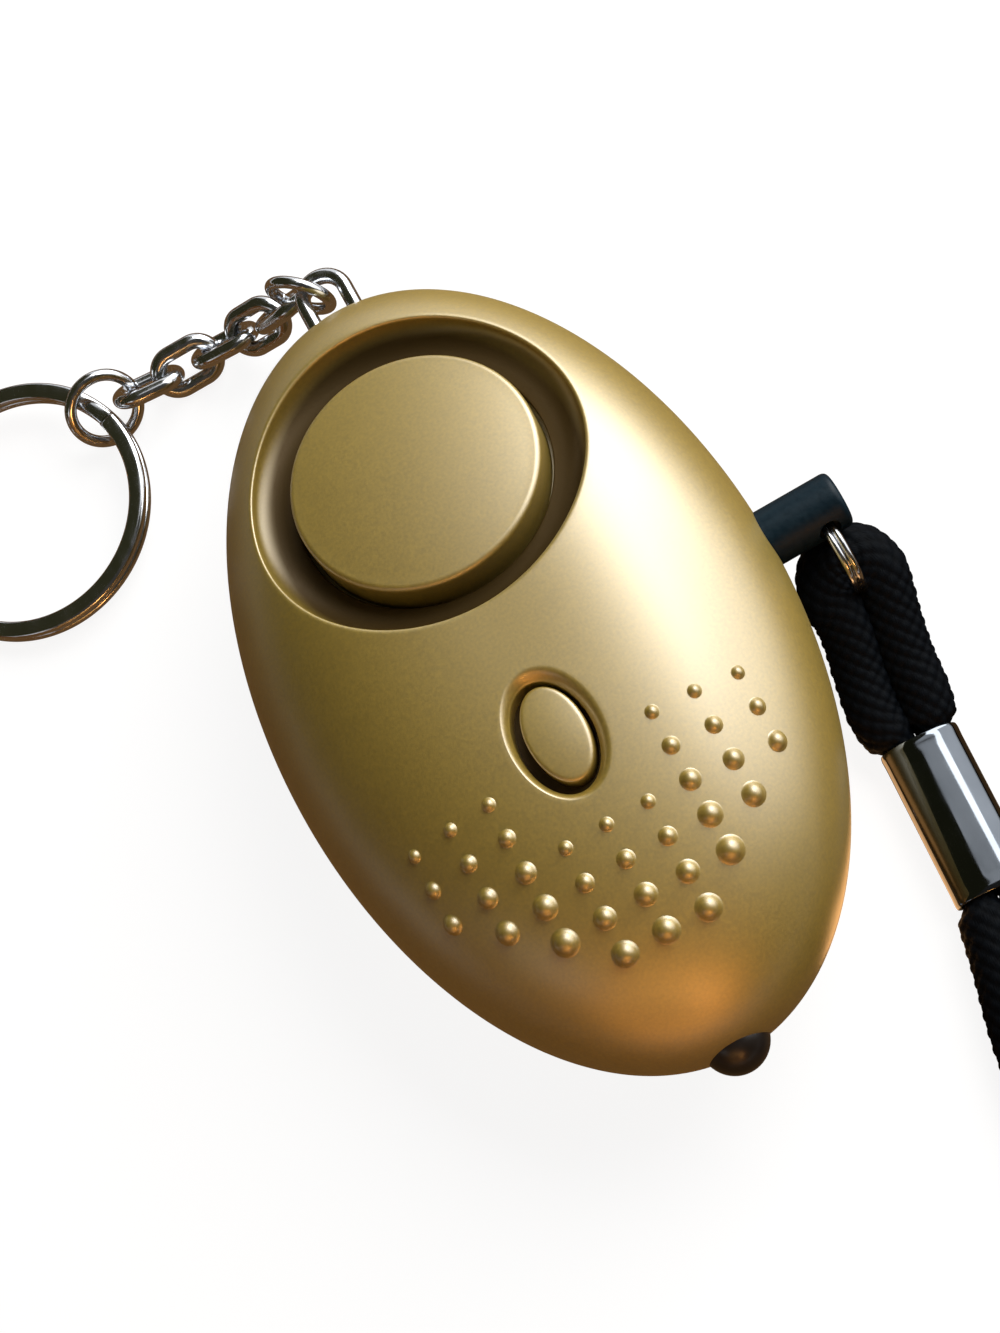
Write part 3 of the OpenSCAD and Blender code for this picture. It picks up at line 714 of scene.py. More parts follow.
@dataclass
class Studio:
    """Camera, floor, lamps, cards and backdrop."""

    azimuth: float = 9.76
    elevation: float = 70.0
    roll: float = -39.03
    distance: float = 167.37
    target: Point = (-1.61, -0.03, 11.61)
    focal_pixels: float = 2415.05
    picture_height: float = 1333.0
    sensor: float = 36.0
    near_clip: float = 0.01
    floor_side: float = 6000.0
    floor_level: float = -0.02
    floor_colour: Colour = (0.2, 0.2, 0.2)
    floor_lift: float = 0.89
    ambient: float = 0.07
    lamps: tuple[Panel, ...] = (
        Panel("key_lamp", (0.29, 0.83, 0.46), 460.0, (440.0, 440.0), (1.0, 0.99, 0.97), 3.05),
        Panel("warm_lamp", (0.0, -0.75, 0.66), 420.0, (200.0, 110.0), (1.0, 0.55, 0.14), 0.16),
    )
    # Glowing cards that only gloss rays see, painted reflections: the two bright ones paint a warm highlight
    # low down and a white highlight to the side, the dim ones paint dark and brown surroundings.
    cards: tuple[Panel, ...] = (
        Panel("warm_highlight_card", (0.14, -0.74, 0.66), 410.0, (190.0, 60.0), (19.0, 7.6, 1.7)),
        Panel("left_card", (-0.85, 0.3, 0.4), 300.0, (760.0, 620.0), (0.03, 0.029, 0.014)),
        Panel("top_card", (0.0, -0.15, 1.0), 420.0, (640.0, 560.0), (0.045, 0.043, 0.038)),
        Panel("low_card", (-0.1, -1.0, 0.2), 320.0, (700.0, 420.0), (0.12, 0.05, 0.015)),
        Panel("right_card", (0.9, -0.2, 0.4), 330.0, (600.0, 560.0), (0.05, 0.036, 0.012)),
        Panel("side_highlight_card", (0.68, 0.56, 0.48), 300.0, (250.0, 230.0), (1.6, 1.6, 1.62)),
    )
    # Painted reflections on the floor: a brown table round the object, and a small tan glow near the ferrule.
    patches: tuple[Patch, ...] = (
        Patch("table_reflection_card", (-30.0, -30.0, -0.01), (360.0, 300.0), (0.14, 0.075, 0.03)),
        Patch("tan_reflection_card", (13.5, -23.0, -0.005), (7.0, 16.0), (2.6, 1.35, 0.55)),
    )

    def axes(self) -> Array:
        """Right, up and back directions of the camera, as columns."""
        az, el, roll = np.radians([self.azimuth, self.elevation, self.roll])
        back = np.array([np.sin(az) * np.cos(el), -np.cos(az) * np.cos(el), np.sin(el)])
        right = np.array([np.cos(az), np.sin(az), 0.0])
        up = np.cross(back, right)
        turned = np.cos(roll) * right + np.sin(roll) * up
        return np.column_stack([turned, np.cos(roll) * up - np.sin(roll) * right, back])

    def stand(self, made: bpy.types.Object, place: Place) -> None:
        """Puts the camera or a lamp into the scene at a frame."""
        bpy.context.scene.collection.objects.link(made)
        turned = Matrix(place.axes.tolist()).to_4x4()
        turned.translation = (place.origin * MM).tolist()
        made.matrix_world = turned

    def camera(self) -> None:
        """Camera at the photograph's viewing angle."""
        lens = bpy.data.cameras.new("camera")
        lens.sensor_fit = "AUTO"
        lens.sensor_width = self.sensor
        lens.lens = self.focal_pixels * self.sensor / self.picture_height
        lens.clip_start = self.near_clip
        made = bpy.data.objects.new("camera", lens)
        axes = self.axes()
        self.stand(made, Place(np.array(self.target) + axes[:, 2] * self.distance, axes))
        bpy.context.scene.camera = made

    def facing(self, panel: Panel) -> Place:
        """Frame of a panel: its z runs from the object to the panel, and its x is level."""
        back = unit(self.axes() @ np.array(panel.way, float))
        side = unit(np.cross(UP, back))
        axes = np.column_stack([side, np.cross(back, side), back])
        return Place(np.array(self.target) + back * panel.reach, axes)

    def lamp(self, panel: Panel) -> None:
        """Soft lamp that faces the object."""
        light = bpy.data.lights.new(panel.name, "AREA")
        light.shape = "RECTANGLE"
        light.size, light.size_y = (s * MM for s in panel.size)
        light.energy = panel.power
        light.color = panel.glow
        self.stand(bpy.data.objects.new(panel.name, light), self.facing(panel))

    def flat(self, name: str, place: Place, size: Pair, finish: bpy.types.Material) -> bpy.types.Object:
        """Flat piece of the stage in a frame's plane.

        Args:
            name: Name of the piece.
            place: Frame with the piece's middle at its origin.
            size: Sides in millimetres.
            finish: Its material.

        Returns:
            The piece's object.
        """
        ends = np.array([-0.5, 0.5])
        u, v = np.meshgrid(ends * size[0], ends * size[1])
        mesh = Skin().add(place.put(join(u, v, 0.0)), wrap=False).mesh(name)
        mesh.materials.append(finish)
        made = bpy.data.objects.new(name, mesh)
        bpy.context.scene.collection.objects.link(made)
        return made

    def card(self, place: Place, sheet: Panel | Patch) -> None:
        """Glowing card that only reflections see, standing where the flags round a studio table would: a
        painted reflection that neither lights nor shades the object.

        Args:
            place: Frame with the card's middle at its origin.
            sheet: Name, size and glow of the card.
        """
        made, nodes = blank(sheet.name + "_finish")
        nodes.end(nodes.add("Emission", Color=(*sheet.glow, 1), Strength=1.0))
        reflection_sheet = self.flat(sheet.name, place, sheet.size, made)
        reflection_sheet.visible_camera = reflection_sheet.visible_diffuse = False
        reflection_sheet.visible_shadow = reflection_sheet.visible_transmission = False

    def seen(self, nodes: Nodes) -> Socket:
        """One for rays from the camera, a gloss or a clear piece, and nought for the others."""
        path = nodes.add("LightPath").outputs
        first = nodes.math("MAXIMUM", path["Is Camera Ray"], path["Is Glossy Ray"])
        return nodes.math("MAXIMUM", first, path["Is Transmission Ray"])

    def floor(self) -> None:
        """Pale floor just under the object, lifted to near white where it is seen."""
        made, nodes = blank("floor_finish")
        paper = nodes.add("BsdfDiffuse", Color=(*self.floor_colour, 1))
        strength = nodes.math("MULTIPLY", self.seen(nodes), self.floor_lift)
        lift = nodes.add("Emission", Color=(1, 1, 1, 1), Strength=strength)
        both = nodes.add("AddShader")
        for socket, shader in zip(both.inputs, (paper, lift)):
            nodes.feed(socket, shader.outputs[0])
        nodes.end(both)
        place = Place.turned((0.0, 0.0, self.floor_level))
        self.flat("floor", place, (self.floor_side, self.floor_side), made)

    def world(self) -> None:
        """White backdrop where it is seen, and even ambient light elsewhere."""
        sky = bpy.data.worlds.new("studio")
        bpy.context.scene.world = sky
        sky.use_nodes = True
        nodes = Nodes(sky.node_tree)
        back = sky.node_tree.nodes["Background"]
        back.inputs["Color"].default_value = (1, 1, 1, 1)
        level = nodes.add("MapRange", Value=self.seen(nodes), To_Min=self.ambient, To_Max=1.0)
        nodes.feed(back.inputs["Strength"], level.outputs["Result"])

    def build(self) -> None:
        """Sets the whole studio."""
        bpy.context.scene.view_settings.view_transform = "Standard"
        self.camera()
        self.floor()
        self.world()
        for panel in self.lamps:
            self.lamp(panel)
        for panel in self.cards:
            self.card(self.facing(panel), panel)
        for patch in self.patches:
            self.card(Place.turned(patch.middle), patch)
        LOG.info("studio set")


# Wrist strap


@dataclass
class WristStrap:
    """Braided cord: a small loop through the pin's ring, the ferrule and the wrist loop."""

    mouth: Pair = (21.1, -16.8)
    turn: float = 4.0
    length: float = 12.0
    level: float = 1.694
    strand: float = 1.244
    outer: float = 1.694
    wall: float = 0.35
    corner: float = 0.92
    cord_end: float = 2.25
    diameter: float = 3.4
    press: float = 0.72
    flat: Pair = (1.2, 0.88)
    spread: float = 1.4
    loop_length: float = 0.037
    wrist_length: float = 0.22
    carriers: int = 10
    pitch: float = 5.6
    relief: float = 0.26
    strand_rate: float = 1.85
    crossing: Pair = (0.62, 0.38)
    map_rate: float = 0.1
    loop_step: float = 0.15
    loop_sides: int = 100
    wrist_step: float = 0.2
    wrist_sides: int = 80
    loop_points: tuple[Point, ...] = (
        (19.45, -14, 2.35), (20, -11, 3), (20.55, -8.7, 3.8), (20.75, -7, 4.45), (20.65, -5.3, 5.05),
        (21.4, -3.7, 5.5), (22.8, -3.1, 5.6), (24.2, -3.7, 5.5), (24.8, -5.3, 5.05), (24.45, -7, 4.45),
        (23.95, -8.8, 3.8), (23.4, -11.4, 3), (23.05, -14.2, 2.35),
    )
    wrist_points: tuple[Point, ...] = (
        (18, -33, 1.8), (16.4, -39, 1.7), (15.6, -46, 1.7), (17, -54, 1.7), (21.5, -61, 1.7),
        (28.5, -65.5, 1.7), (37, -66.5, 1.7), (45, -63.5, 1.7), (51, -57.5, 1.7), (53.5, -49.5, 1.7),
        (54, -41, 1.7), (54, -32, 1.7), (53.5, -23, 1.7), (53, -14.5, 1.7), (51.5, -8.5, 1.7),
        (47.5, -5.2, 1.7), (42.8, -6.3, 1.7), (40.3, -10.8, 1.7), (40.6, -18, 1.7), (41.3, -26, 1.7),
        (41.8, -34, 1.7), (41.5, -41, 1.7), (41.3, -47, 1.7), (39.5, -52.5, 1.7), (35, -56, 1.7),
        (29.5, -55.5, 1.7), (25, -51.5, 1.7), (22.8, -46, 1.7), (21.8, -40, 1.7), (21.9, -34, 1.8),
    )

    def place(self) -> Place:
        """Frame of the ferrule's mouth: x across both strands, y along the tube and z up."""
        s, c = np.sin(np.radians(self.turn)), np.cos(np.radians(self.turn))
        return Place(np.array([*self.mouth, self.level]), np.array([[c, -s, 0.0], [-s, -c, 0.0], UP]).T)

    def strand_point(self, side: int, along: float) -> Array:
        """Point on one strand's middle line, so far along the ferrule from its mouth."""
        return self.place().put(np.array([side * self.strand, along, 0.0]))

    def route(self, points: Sequence[Point], near: float, far: float, step: float) -> Array:
        """Smooth line from one strand in the ferrule through the points to the other strand.

        Between two points the line is the cubic through them whose slopes there follow their neighbours.

        Args:
            points: Points on the way.
            near: Depth along the ferrule where the line starts and ends.
            far: Depth where it leaves the ferrule.
            step: Distance between points of the line.

        Returns:
            Points of the line.
        """
        first, last = ([self.strand_point(side, along) for along in (near, far)] for side in (-1, 1))
        knots = np.array([*first, *points, *last[::-1]])
        knots = np.vstack([2 * knots[0] - knots[1], knots, 2 * knots[-1] - knots[-2]])
        a, b, c, d = (knots[k : len(knots) - 3 + k, None] for k in range(4))
        t = ramp(count=24)[None, :, None]
        cubic = 2 * b + (c - a) * t + (2 * a - 5 * b + 4 * c - d) * t**2 + (3 * b - a - 3 * c + d) * t**3
        line = (cubic / 2).reshape(-1, 3)
        kept = np.concatenate([[True], np.linalg.norm(np.diff(line, axis=0), axis=1) > SAME])
        return resample(line[kept], step)

    def strand_height(self, off: Array, over: Array) -> Array:
        """Height of a strand at a share off its middle, where it passes over or under by that much."""
        mean, swing = self.crossing
        return np.sqrt(np.clip(1 - (self.strand_rate * off) ** 2, 0, 1)) * (mean + swing * over)

    def braid(self, path: Array, sides: int, step: float) -> Skin:
        """Braided tube round a line.

        Strands wind both ways. With a and b the counts of strands passed by the two windings, a strand's
        height falls off as the root of one less the square of its distance from the strand's middle, and it
        dips below the crossing strand at every second crossing. The higher of the two strands shows. Towards
        both ends the cord thins smoothly to the share of its thickness that the ferrule presses it to.

        Args:
            path: Middle line of the cord.
            sides: Points round the cord.
            step: Distance between points of the line.

        Returns:
            Surface with a map along and round the cord and the strand's height.
        """
        along = np.arange(len(path))[:, None] * step
        round_share = ramp(sides + 1)[None, :]
        a = self.carriers * (round_share + along / self.pitch / 2)
        b = self.carriers * (round_share - along / self.pitch / 2)
        i, j = np.round(a), np.round(b)
        over_a, over_b = np.cos(np.pi * (b + i)), -np.cos(np.pi * (a + j))
        height = np.maximum(self.strand_height(a - i, over_a), self.strand_height(b - j, over_b))
        from_end = np.minimum(along, along[-1] - along) - self.cord_end
        way = np.clip(from_end / self.spread, 0, 1)
        thick = self.press + (1 - self.press) * way * way * (3 - 2 * way)
        radius = thick * (self.diameter / 2 + self.relief * (height - 1))
        wide, high = (1 + way * (share - 1) for share in self.flat)
        angle = TURN * round_share
        section = join(radius * wide * np.cos(angle), radius * high * np.sin(angle))
        grid = sweep(path, section, UP)
        uv = join(along * self.map_rate, round_share * np.ones_like(along))
        rows = np.concatenate([[0], np.arange(len(path)), [len(path) - 1]])
        skin = Skin().add(grid, wrap=False)
        skin.chart(uv[rows], height[rows])
        return skin

    def ferrule(self) -> bpy.types.Object:
        """Flattened tube: a full oval, sine and cosine to a power under one, along its wall's outline.

        Returns:
            The ferrule's object.
        """
        o, i = self.outer, self.outer - self.wall
        # Radius, distance from the mouth and easing, from inside one mouth out to the tube's side
        lip = [(i, 2.3, 0), (i, 0.25, 0), (i + 0.1, 0.0, 0.12), (o - 0.06, 0.0, 0.1), (o, 0.3, 0.15),
               (o - 0.03, 0.9, 0.3)]
        outline = rounded([*lip, *((r, self.length - h, ease) for r, h, ease in lip[::-1])])
        r, h = outline[:, :1], outline[:, 1:]
        full = full_circle(self.corner, sides=96)
        grid = self.place().put(join((self.strand + r) * full[:, 0], h, r * full[:, 1]))
        return piece("ferrule_tube", Skin().add(grid), PLATED, Slot.CHROME, Body.PIN, "ferrule")

    def build(self) -> None:
        tube = self.ferrule()
        loop = self.route(self.loop_points, self.cord_end, 0.0, self.loop_step)
        skin = self.braid(loop, self.loop_sides, self.loop_step)
        cord = piece("cord_loop_braid", skin, CORD, Slot.CORD, Body.PIN, "cord_loop")
        wrist = self.route(self.wrist_points, self.length - self.cord_end, self.length, self.wrist_step)
        skin = self.braid(wrist, self.wrist_sides, self.wrist_step)
        cord = piece("wrist_cord_braid", skin, CORD, Slot.CORD, Body.PIN, "wrist_cord")
        tuple(self.strand_point(-1, self.length) * MM)


# Case


@dataclass(frozen=True)
class CaseForm:
    """The egg: ovals that shrink by a power of the height angle, above and below the seam."""

    half_width: float = 19.0
    half_length: float = 31.0
    seam: float = 9.0
    front_rise: float = 11.0
    foot_angle: float = 75.0
    fullness: float = 2.9
    pin_y: float = -0.75
    pin_hole: float = 2.16
    wall: float = 0.5
    seam_ease: float = 0.13
    lip_in: Point = (1.0, 0.42, 0.1)
    lip_down: Point = (1.0, 0.72, 0.3)

    @property
    def back_rise(self) -> float:
        """Depth that the back would reach without its flat foot."""
        return float(self.seam / np.sin(np.radians(self.foot_angle)))

    def share(self, x: Array, y: Array) -> Array:
        """Size of the oval through a point, as a share of the seam's oval."""
        return np.hypot(x / self.half_width, y / self.half_length)

    def swell(self, x: Array, y: Array) -> Array:
        """Root of one less the share raised to the fullness."""
        return np.sqrt(np.clip(1 - self.share(x, y) ** self.fullness, 0, 1))

    def front(self, xy: Array) -> Array:
        """Points of the front's surface over points of the plan."""
        x, y = xy[..., 0], xy[..., 1]
        return join(x, y, self.seam + self.front_rise * self.swell(x, y))

    def back(self, xy: Array) -> Array:
        """Points of the back's surface under points of the plan, with the flat foot at nought."""
        x, y = xy[..., 0], xy[..., 1]
        return join(x, y, np.maximum(self.seam - self.back_rise * self.swell(x, y), 0.0))

    def front_normal(self, xy: Array) -> Array:
        """Outward directions of the front's surface over points of the plan."""
        x, y = xy[..., 0], xy[..., 1]
        pull = self.fullness * self.share(x, y) ** (self.fullness - 2)
        rise = 2 * self.swell(x, y) / self.front_rise
        return unit(join(pull * x / self.half_width**2, pull * y / self.half_length**2, rise))

    def ring(self, t: Array, phi: Array, rise: float) -> Array:
        """Points at height angle t and turn phi: oval cos(t)^(2/fullness), height rise·sin(t)."""
        s = np.cos(t) ** (2 / self.fullness)
        x, y = self.half_width * s * np.cos(phi), self.half_length * s * np.sin(phi)
        return join(x, y, self.seam + rise * np.sin(t))

    def turns(self, steps: int) -> tuple[Array, Array]:
        """Turns of the columns above and below the pin's middle, closer together round the pin's hole.

        Args:
            steps: Columns of each half outside the hole.

        Returns:
            Turns of the upper half, from the pin round to the far side, and of the lower half back again.
        """
        bend = ramp(count=13, stop=np.pi / 2)
        high = np.arcsin((self.pin_y + self.pin_hole * np.sin(bend)) / self.half_length)
        low = np.arcsin((self.pin_y - self.pin_hole * np.sin(bend)) / self.half_length)
        far = np.pi - high[0]
        upper = np.concatenate([high, ramp(steps, high[-1], far)[1:]])
        lower = np.concatenate([ramp(steps, far, TURN + low[-1])[:-1], TURN + low[::-1]])
        return upper, lower

    def start(self, phi: Array, rise: float) -> Array:
        """Height angle where the wall starts: nought, or the edge of the pin's half hole."""
        off = self.half_length * np.sin(phi) - self.pin_y
        high = np.sqrt(np.clip(self.pin_hole**2 - off**2, 0, None)) * (np.cos(phi) > 0)
        return np.arcsin(high / abs(rise))

    def edge(self, phi: Array, rise: float, last: float, rows: int) -> Array:
        """Wall from the eased edge at the seam up to height angle last, by rows and columns.

        Args:
            phi: Turns of the columns.
            rise: Height of the dome, negative for the back.
            last: Height angle of the last row.
            rows: Rows of the wall.

        Returns:
            Grid of points.
        """
        ease = self.seam_ease
        first = np.arcsin(np.sin(self.start(phi, rise)) + ease / abs(rise))
        t = first + (last - first) * ramp(rows)[:, None]
        wall = self.ring(t, phi, rise)
        inset = np.array(self.lip_in)[:, None] * ease / np.hypot(wall[0, :, 0], wall[0, :, 1])
        lip_xy = wall[0, :, :2] * (1 - inset[..., None])
        drop = np.array(self.lip_down)[:, None] * ease * np.sign(rise)
        lip = np.concatenate([lip_xy, (wall[0, :, 2] - drop)[..., None]], axis=-1)
        return np.concatenate([lip, wall])


FORM = CaseForm()


def fill(inner: Array, outer: Array, rows: int, lift: Callable[[Array], Array], press: float = 1.0) -> Array:
    """Surface between two loops of the plan, point by point along straight lines in the plan.

    Args:
        inner: Inner loop.
        outer: Outer loop, with as many points.
        rows: Rows of the surface.
        lift: Function that puts plan points on a surface.
        press: Power that crowds the rows towards the inner loop.

    Returns:
        Grid of points.
    """
    w = (ramp(rows) ** press)[:, None, None]
    return lift((1 - w) * inner + w * outer)


@dataclass
class FrontShell:
    """Front dome with the speaker's well, the button's opening and the grip dots."""

    speaker: Place
    edge_share: float = 0.9
    well_radius: float = 12.2
    rim_ease: float = 0.4
    floor_depth: float = 3.0
    cove: float = 2.0
    slot_radius: float = 9.4
    slot_depth: float = 3.8
    slot_ease: float = 0.2
    wall_least: float = 0.15
    search: float = 8.0
    halvings: int = 40
    button_y: float = -8.8
    bevel: Pair = (3.35, 4.8)
    gap: Pair = (2.7, 4.1)
    gap_middle: Pair = (-0.24, -8.87)
    bevel_depth: float = 0.66
    gap_depth: float = 2.3
    gap_rows: tuple[float, ...] = (0.04, 0.15, 0.4, 1.0, 2.0)
    gap_taper: tuple[float, ...] = (0.012, 0.02, 0.02, 0.02, 0.02, 0.02)
    dot_pitch: Pair = (3.05, 2.5)
    dot_y: float = -15.7
    dot_small: float = 0.9
    dot_growth: float = 0.22
    middle_growth: float = 1.2
    dot_bow: float = 62.0
    dot_sunk: float = 0.25
    dot_foot: Pair = (1.32, -0.06)
    dot_under: tuple[Pair, ...] = ((0.9, -0.3), (0.0, -0.3))
    # Painted shade in the speaker's well: it starts this far under the dome and is darkest this far under.
    shade_from: float = 0.15
    shade_full: float = 2.0

    def on_dome(self, angle: Array, radius: float) -> tuple[Array, Array]:
        """Where the well's upright cylinder of that radius meets the dome.

        The height along the leaning axis is halved in on until the point lies on the dome.

        Args:
            angle: Angles round the well.
            radius: Radius of the cylinder.

        Returns:
            Points on the dome, and their heights along the well's axis.
        """
        low, high = np.full(angle.shape, -self.search), np.full(angle.shape, self.search)
        for _ in range(self.halvings):
            middle = (low + high) / 2
            p = self.speaker.put(join(radius * np.cos(angle), radius * np.sin(angle), middle))
            above = p[..., 2] > FORM.front(p[..., :2])[..., 2]
            high, low = np.where(above, middle, high), np.where(above, low, middle)
        return p, middle

    def well(self, angle: Array) -> tuple[Array, Array]:
        """The well from its eased rim down its concave wall to the sound slot.

        Args:
            angle: Angles round the well.

        Returns:
            Loop of the rim on the dome, and the grid of the well.
        """
        rim, _ = self.on_dome(angle, self.well_radius + self.rim_ease)
        corner, height = self.on_dome(angle, self.well_radius)
        c, s = np.cos(angle), np.sin(angle)
        under = height - self.rim_ease
        wall = self.speaker.put(join(self.well_radius * c, self.well_radius * s, under))
        ease = bezier(rim, corner, wall, steps=9)
        top = np.minimum(self.cove - self.floor_depth, under - self.wall_least)
        a = ramp(count=14, stop=np.pi / 2)[:, None]
        radius = self.well_radius - self.cove * (1 - np.cos(a))
        level = top - (top + self.floor_depth) * np.sin(a)
        bowl = self.speaker.put(join(radius * c, radius * s, level))
        inner = rounded([
            (self.well_radius - self.cove, -self.floor_depth, 0),
            (self.slot_radius, -self.floor_depth, self.slot_ease),
            (self.slot_radius, -self.slot_depth, 0),
        ])
        floor = self.speaker.put(join(inner[:, :1] * c, inner[:, :1] * s, inner[:, 1:]))
        return rim, np.concatenate([ease, bowl, floor])

    def opening(self, angle: Array) -> tuple[Array, Array]:
        """The button's opening: an oval that sinks by the square of its way in, then a straight wall.

        Args:
            angle: Angles round the button.

        Returns:
            Loop where the bevel starts in the plan, and the grid of the opening.
        """
        way = join(np.cos(angle), np.sin(angle))
        middle = np.array([0.0, self.button_y])
        outer = middle + way / np.linalg.norm(way / np.array(self.bevel), axis=-1, keepdims=True)
        gap_middle = np.array(self.gap_middle)
        inner = gap_middle + way / np.linalg.norm(way / np.array(self.gap), axis=-1, keepdims=True)
        w = ramp(count=12)[:, None, None]
        sunk = FORM.front((1 - w) * outer + w * inner)
        sunk[..., 2] -= self.bevel_depth * w[..., 0] ** 2
        drop = np.array([*self.gap_rows, self.gap_depth])[:, None]
        wall = np.broadcast_to(sunk[-1], (len(drop),) + sunk[-1].shape).copy()
        wall[..., 2] -= drop
        shrink = np.array(self.gap_taper)[:, None, None]
        wall[..., :2] -= (wall[..., :2] - gap_middle) * shrink
        return outer, np.concatenate([sunk, wall])

    def shell(self) -> Skin:
        """The wall from the seam, then two fans of the plan: one round the well and one round the button.

        Returns:
            The shell's surface.
        """
        upper, lower = FORM.turns(steps=130)
        last = np.arccos(self.edge_share ** (FORM.fullness / 2))
        columns = np.concatenate([upper[:-1], lower[:-1]])
        skin = Skin().add(FORM.edge(columns, FORM.front_rise, last, rows=16))
        right = FORM.ring(last, upper[0], FORM.front_rise)
        line_x = ramp(count=81, start=-right[0], stop=right[0])[1:-1]
        line = join(line_x, right[1])
        above = np.concatenate([FORM.ring(last, upper, FORM.front_rise)[:, :2], line])
        below = np.concatenate([FORM.ring(last, lower, FORM.front_rise)[:, :2], line[::-1]])
        angle = np.arctan2(above[:, 1] - self.speaker.origin[1], above[:, 0])
        rim, well = self.well(angle)
        skin.add(fill(rim[:, :2], above, rows=18, lift=FORM.front)).add(well)
        angle = np.arctan2(below[:, 1] - self.button_y, below[:, 0])
        start, opening = self.opening(angle)
        skin.add(fill(start, below, rows=46, lift=FORM.front)).add(opening)
        return skin

    def dots(self) -> Skin:
        """Grip dots: the top of a ball, eased into the dome by a short curve, and closed under it.

        Returns:
            The dots' surfaces.
        """
        # The outer columns start two rows higher and lose a row with each column; three middle ones have four
        columns = [(c, *((-2, 4 - abs(c)) if abs(c) >= 2 else (0, 3))) for c in range(-4, 5)]
        spread = [(c, row, first) for c, first, last in columns for row in range(first, last + 1)]
        column, row, first = np.array(spread, float).T
        xy = join(column * self.dot_pitch[0], self.dot_y - row * self.dot_pitch[1])
        growth = self.dot_growth * np.where(np.abs(column) >= 2, 1.0, self.middle_growth)
        size = (self.dot_small + growth * (row - first)) / 2
        normal = FORM.front_normal(xy)
        east = unit(np.cross(np.array([0.0, 1.0, 0.0]), normal))
        north = np.cross(normal, east)
        bow = ramp(count=9, stop=np.radians(self.dot_bow))
        ball = join(np.sin(bow), np.cos(bow) - self.dot_sunk)
        foot = bezier(ball[-1], np.array([1.0, 0.0]), np.array(self.dot_foot), steps=6)
        outline = np.vstack([ball, foot[1:], self.dot_under])
        a = ramp(count=25, stop=TURN)[:-1]
        out = size[:, None, None] * outline[None, :, 0, None]
        height = size[:, None, None] * outline[None, :, 1, None]
        across = (out * np.cos(a))[..., None] * east[:, None, None, :2]
        along = (out * np.sin(a))[..., None] * north[:, None, None, :2]
        grids = FORM.front(xy[:, None, None] + across + along) + height[..., None] * normal[:, None, None]
        skin = Skin()
        for grid in grids:
            skin.add(grid)
        return skin

    def build(self) -> None:
        """Makes the shell and its dots."""
        made = piece("front_shell_skin", self.shell(), GOLD, Slot.GOLD, Body.CASE, "front_shell")
        spot = spots(made)
        # Painted shade: the paint darkens with depth under the dome, in the speaker's well only (y over
        # nought) and not in the button's opening.
        deep = FORM.front(spot[:, :2])[:, 2] - spot[:, 2] - self.shade_from
        paint_groove_shade(made, deep * (spot[:, 1] > 0), self.shade_full)
        thicken(made, FORM.wall)
        piece("grip_dots", self.dots(), GOLD, Slot.GOLD, Body.CASE, "front_shell")


@dataclass
class BackShell:
    """Back dome with its flat foot and three screw recesses."""

    screws: tuple[Pair, ...] = ((0.0, 26.0), (8.5, -18.8), (-8.5, -18.8))
    recess: float = 1.92
    seat: float = 1.7
    room: float = 3.0
    bore: float = 0.98
    bore_depth: float = 1.2
    rim_ease: float = 0.2
    seam_room: float = 0.5
    foot_rings: tuple[float, ...] = (0.985, 0.9, 0.6, 0.3, 0.0)

    def shell(self) -> Skin:
        """The wall down to the foot, with a window of quads taken out round each recess and filled by a fan.

        Returns:
            The shell's surface.
        """
        upper, lower = FORM.turns(steps=130)
        columns = np.concatenate([upper[:-1], lower[:-1]])
        grid = FORM.edge(columns, -FORM.back_rise, np.radians(FORM.foot_angle), rows=44)
        foot = grid[-1] * np.array([1, 1, 0]) * np.array(self.foot_rings)[:, None, None]
        grid = np.concatenate([grid, foot])
        rows, cols = grid.shape[:2]
        drop = np.zeros((rows - 1, cols), bool)
        skin = Skin()
        for spot in self.screws:
            away = np.abs(grid[..., :2] - np.array(spot)).max(axis=-1)
            near = np.argwhere((away < self.room) & (grid[..., 2] < FORM.seam - self.seam_room))
            (r0, c0), (r1, c1) = near.min(axis=0), near.max(axis=0)
            drop[r0:r1, c0:c1] = True
            loop = np.concatenate([
                grid[r0, c0:c1], grid[r0:r1, c1], grid[r1, c1:c0:-1], grid[r1:r0:-1, c0],
            ])[:, :2]
            self.recess_at(skin, np.array(spot), loop)
        skin.add(grid, drop=drop)
        return skin

    def recess_at(self, skin: Skin, spot: Array, loop: Array) -> None:
        """Adds one recess: a fan in to its eased rim, its wall, and its seat round the screw's bore.

        Args:
            skin: Surface to add to.
            spot: Middle of the recess in the plan.
            loop: Edge of the window in the plan.
        """
        way = unit(loop - spot)
        ease = self.rim_ease
        rim = FORM.back(spot + way * (self.recess + ease))
        corner = FORM.back(spot + way * self.recess)
        under = corner + np.array([0, 0, ease])
        seat = float(FORM.back(spot)[2]) + self.seat
        steps = ((self.recess, seat), (self.bore, seat), (self.bore, seat + self.bore_depth))
        rows = [self.level(spot + way * radius, height) for radius, height in steps]
        skin.add(fill(rim[:, :2], loop, rows=8, lift=FORM.back))
        skin.add(np.concatenate([bezier(rim, corner, under, steps=6), np.stack(rows)]))

    def level(self, xy: Array, z: float) -> Array:
        """Plan points at one height."""
        return join(xy[:, 0], xy[:, 1], z)

    def build(self) -> None:
        """Makes the shell."""
        made = piece("back_shell_skin", self.shell(), GOLD, Slot.GOLD, Body.CASE, "back_shell")
        thicken(made, FORM.wall)


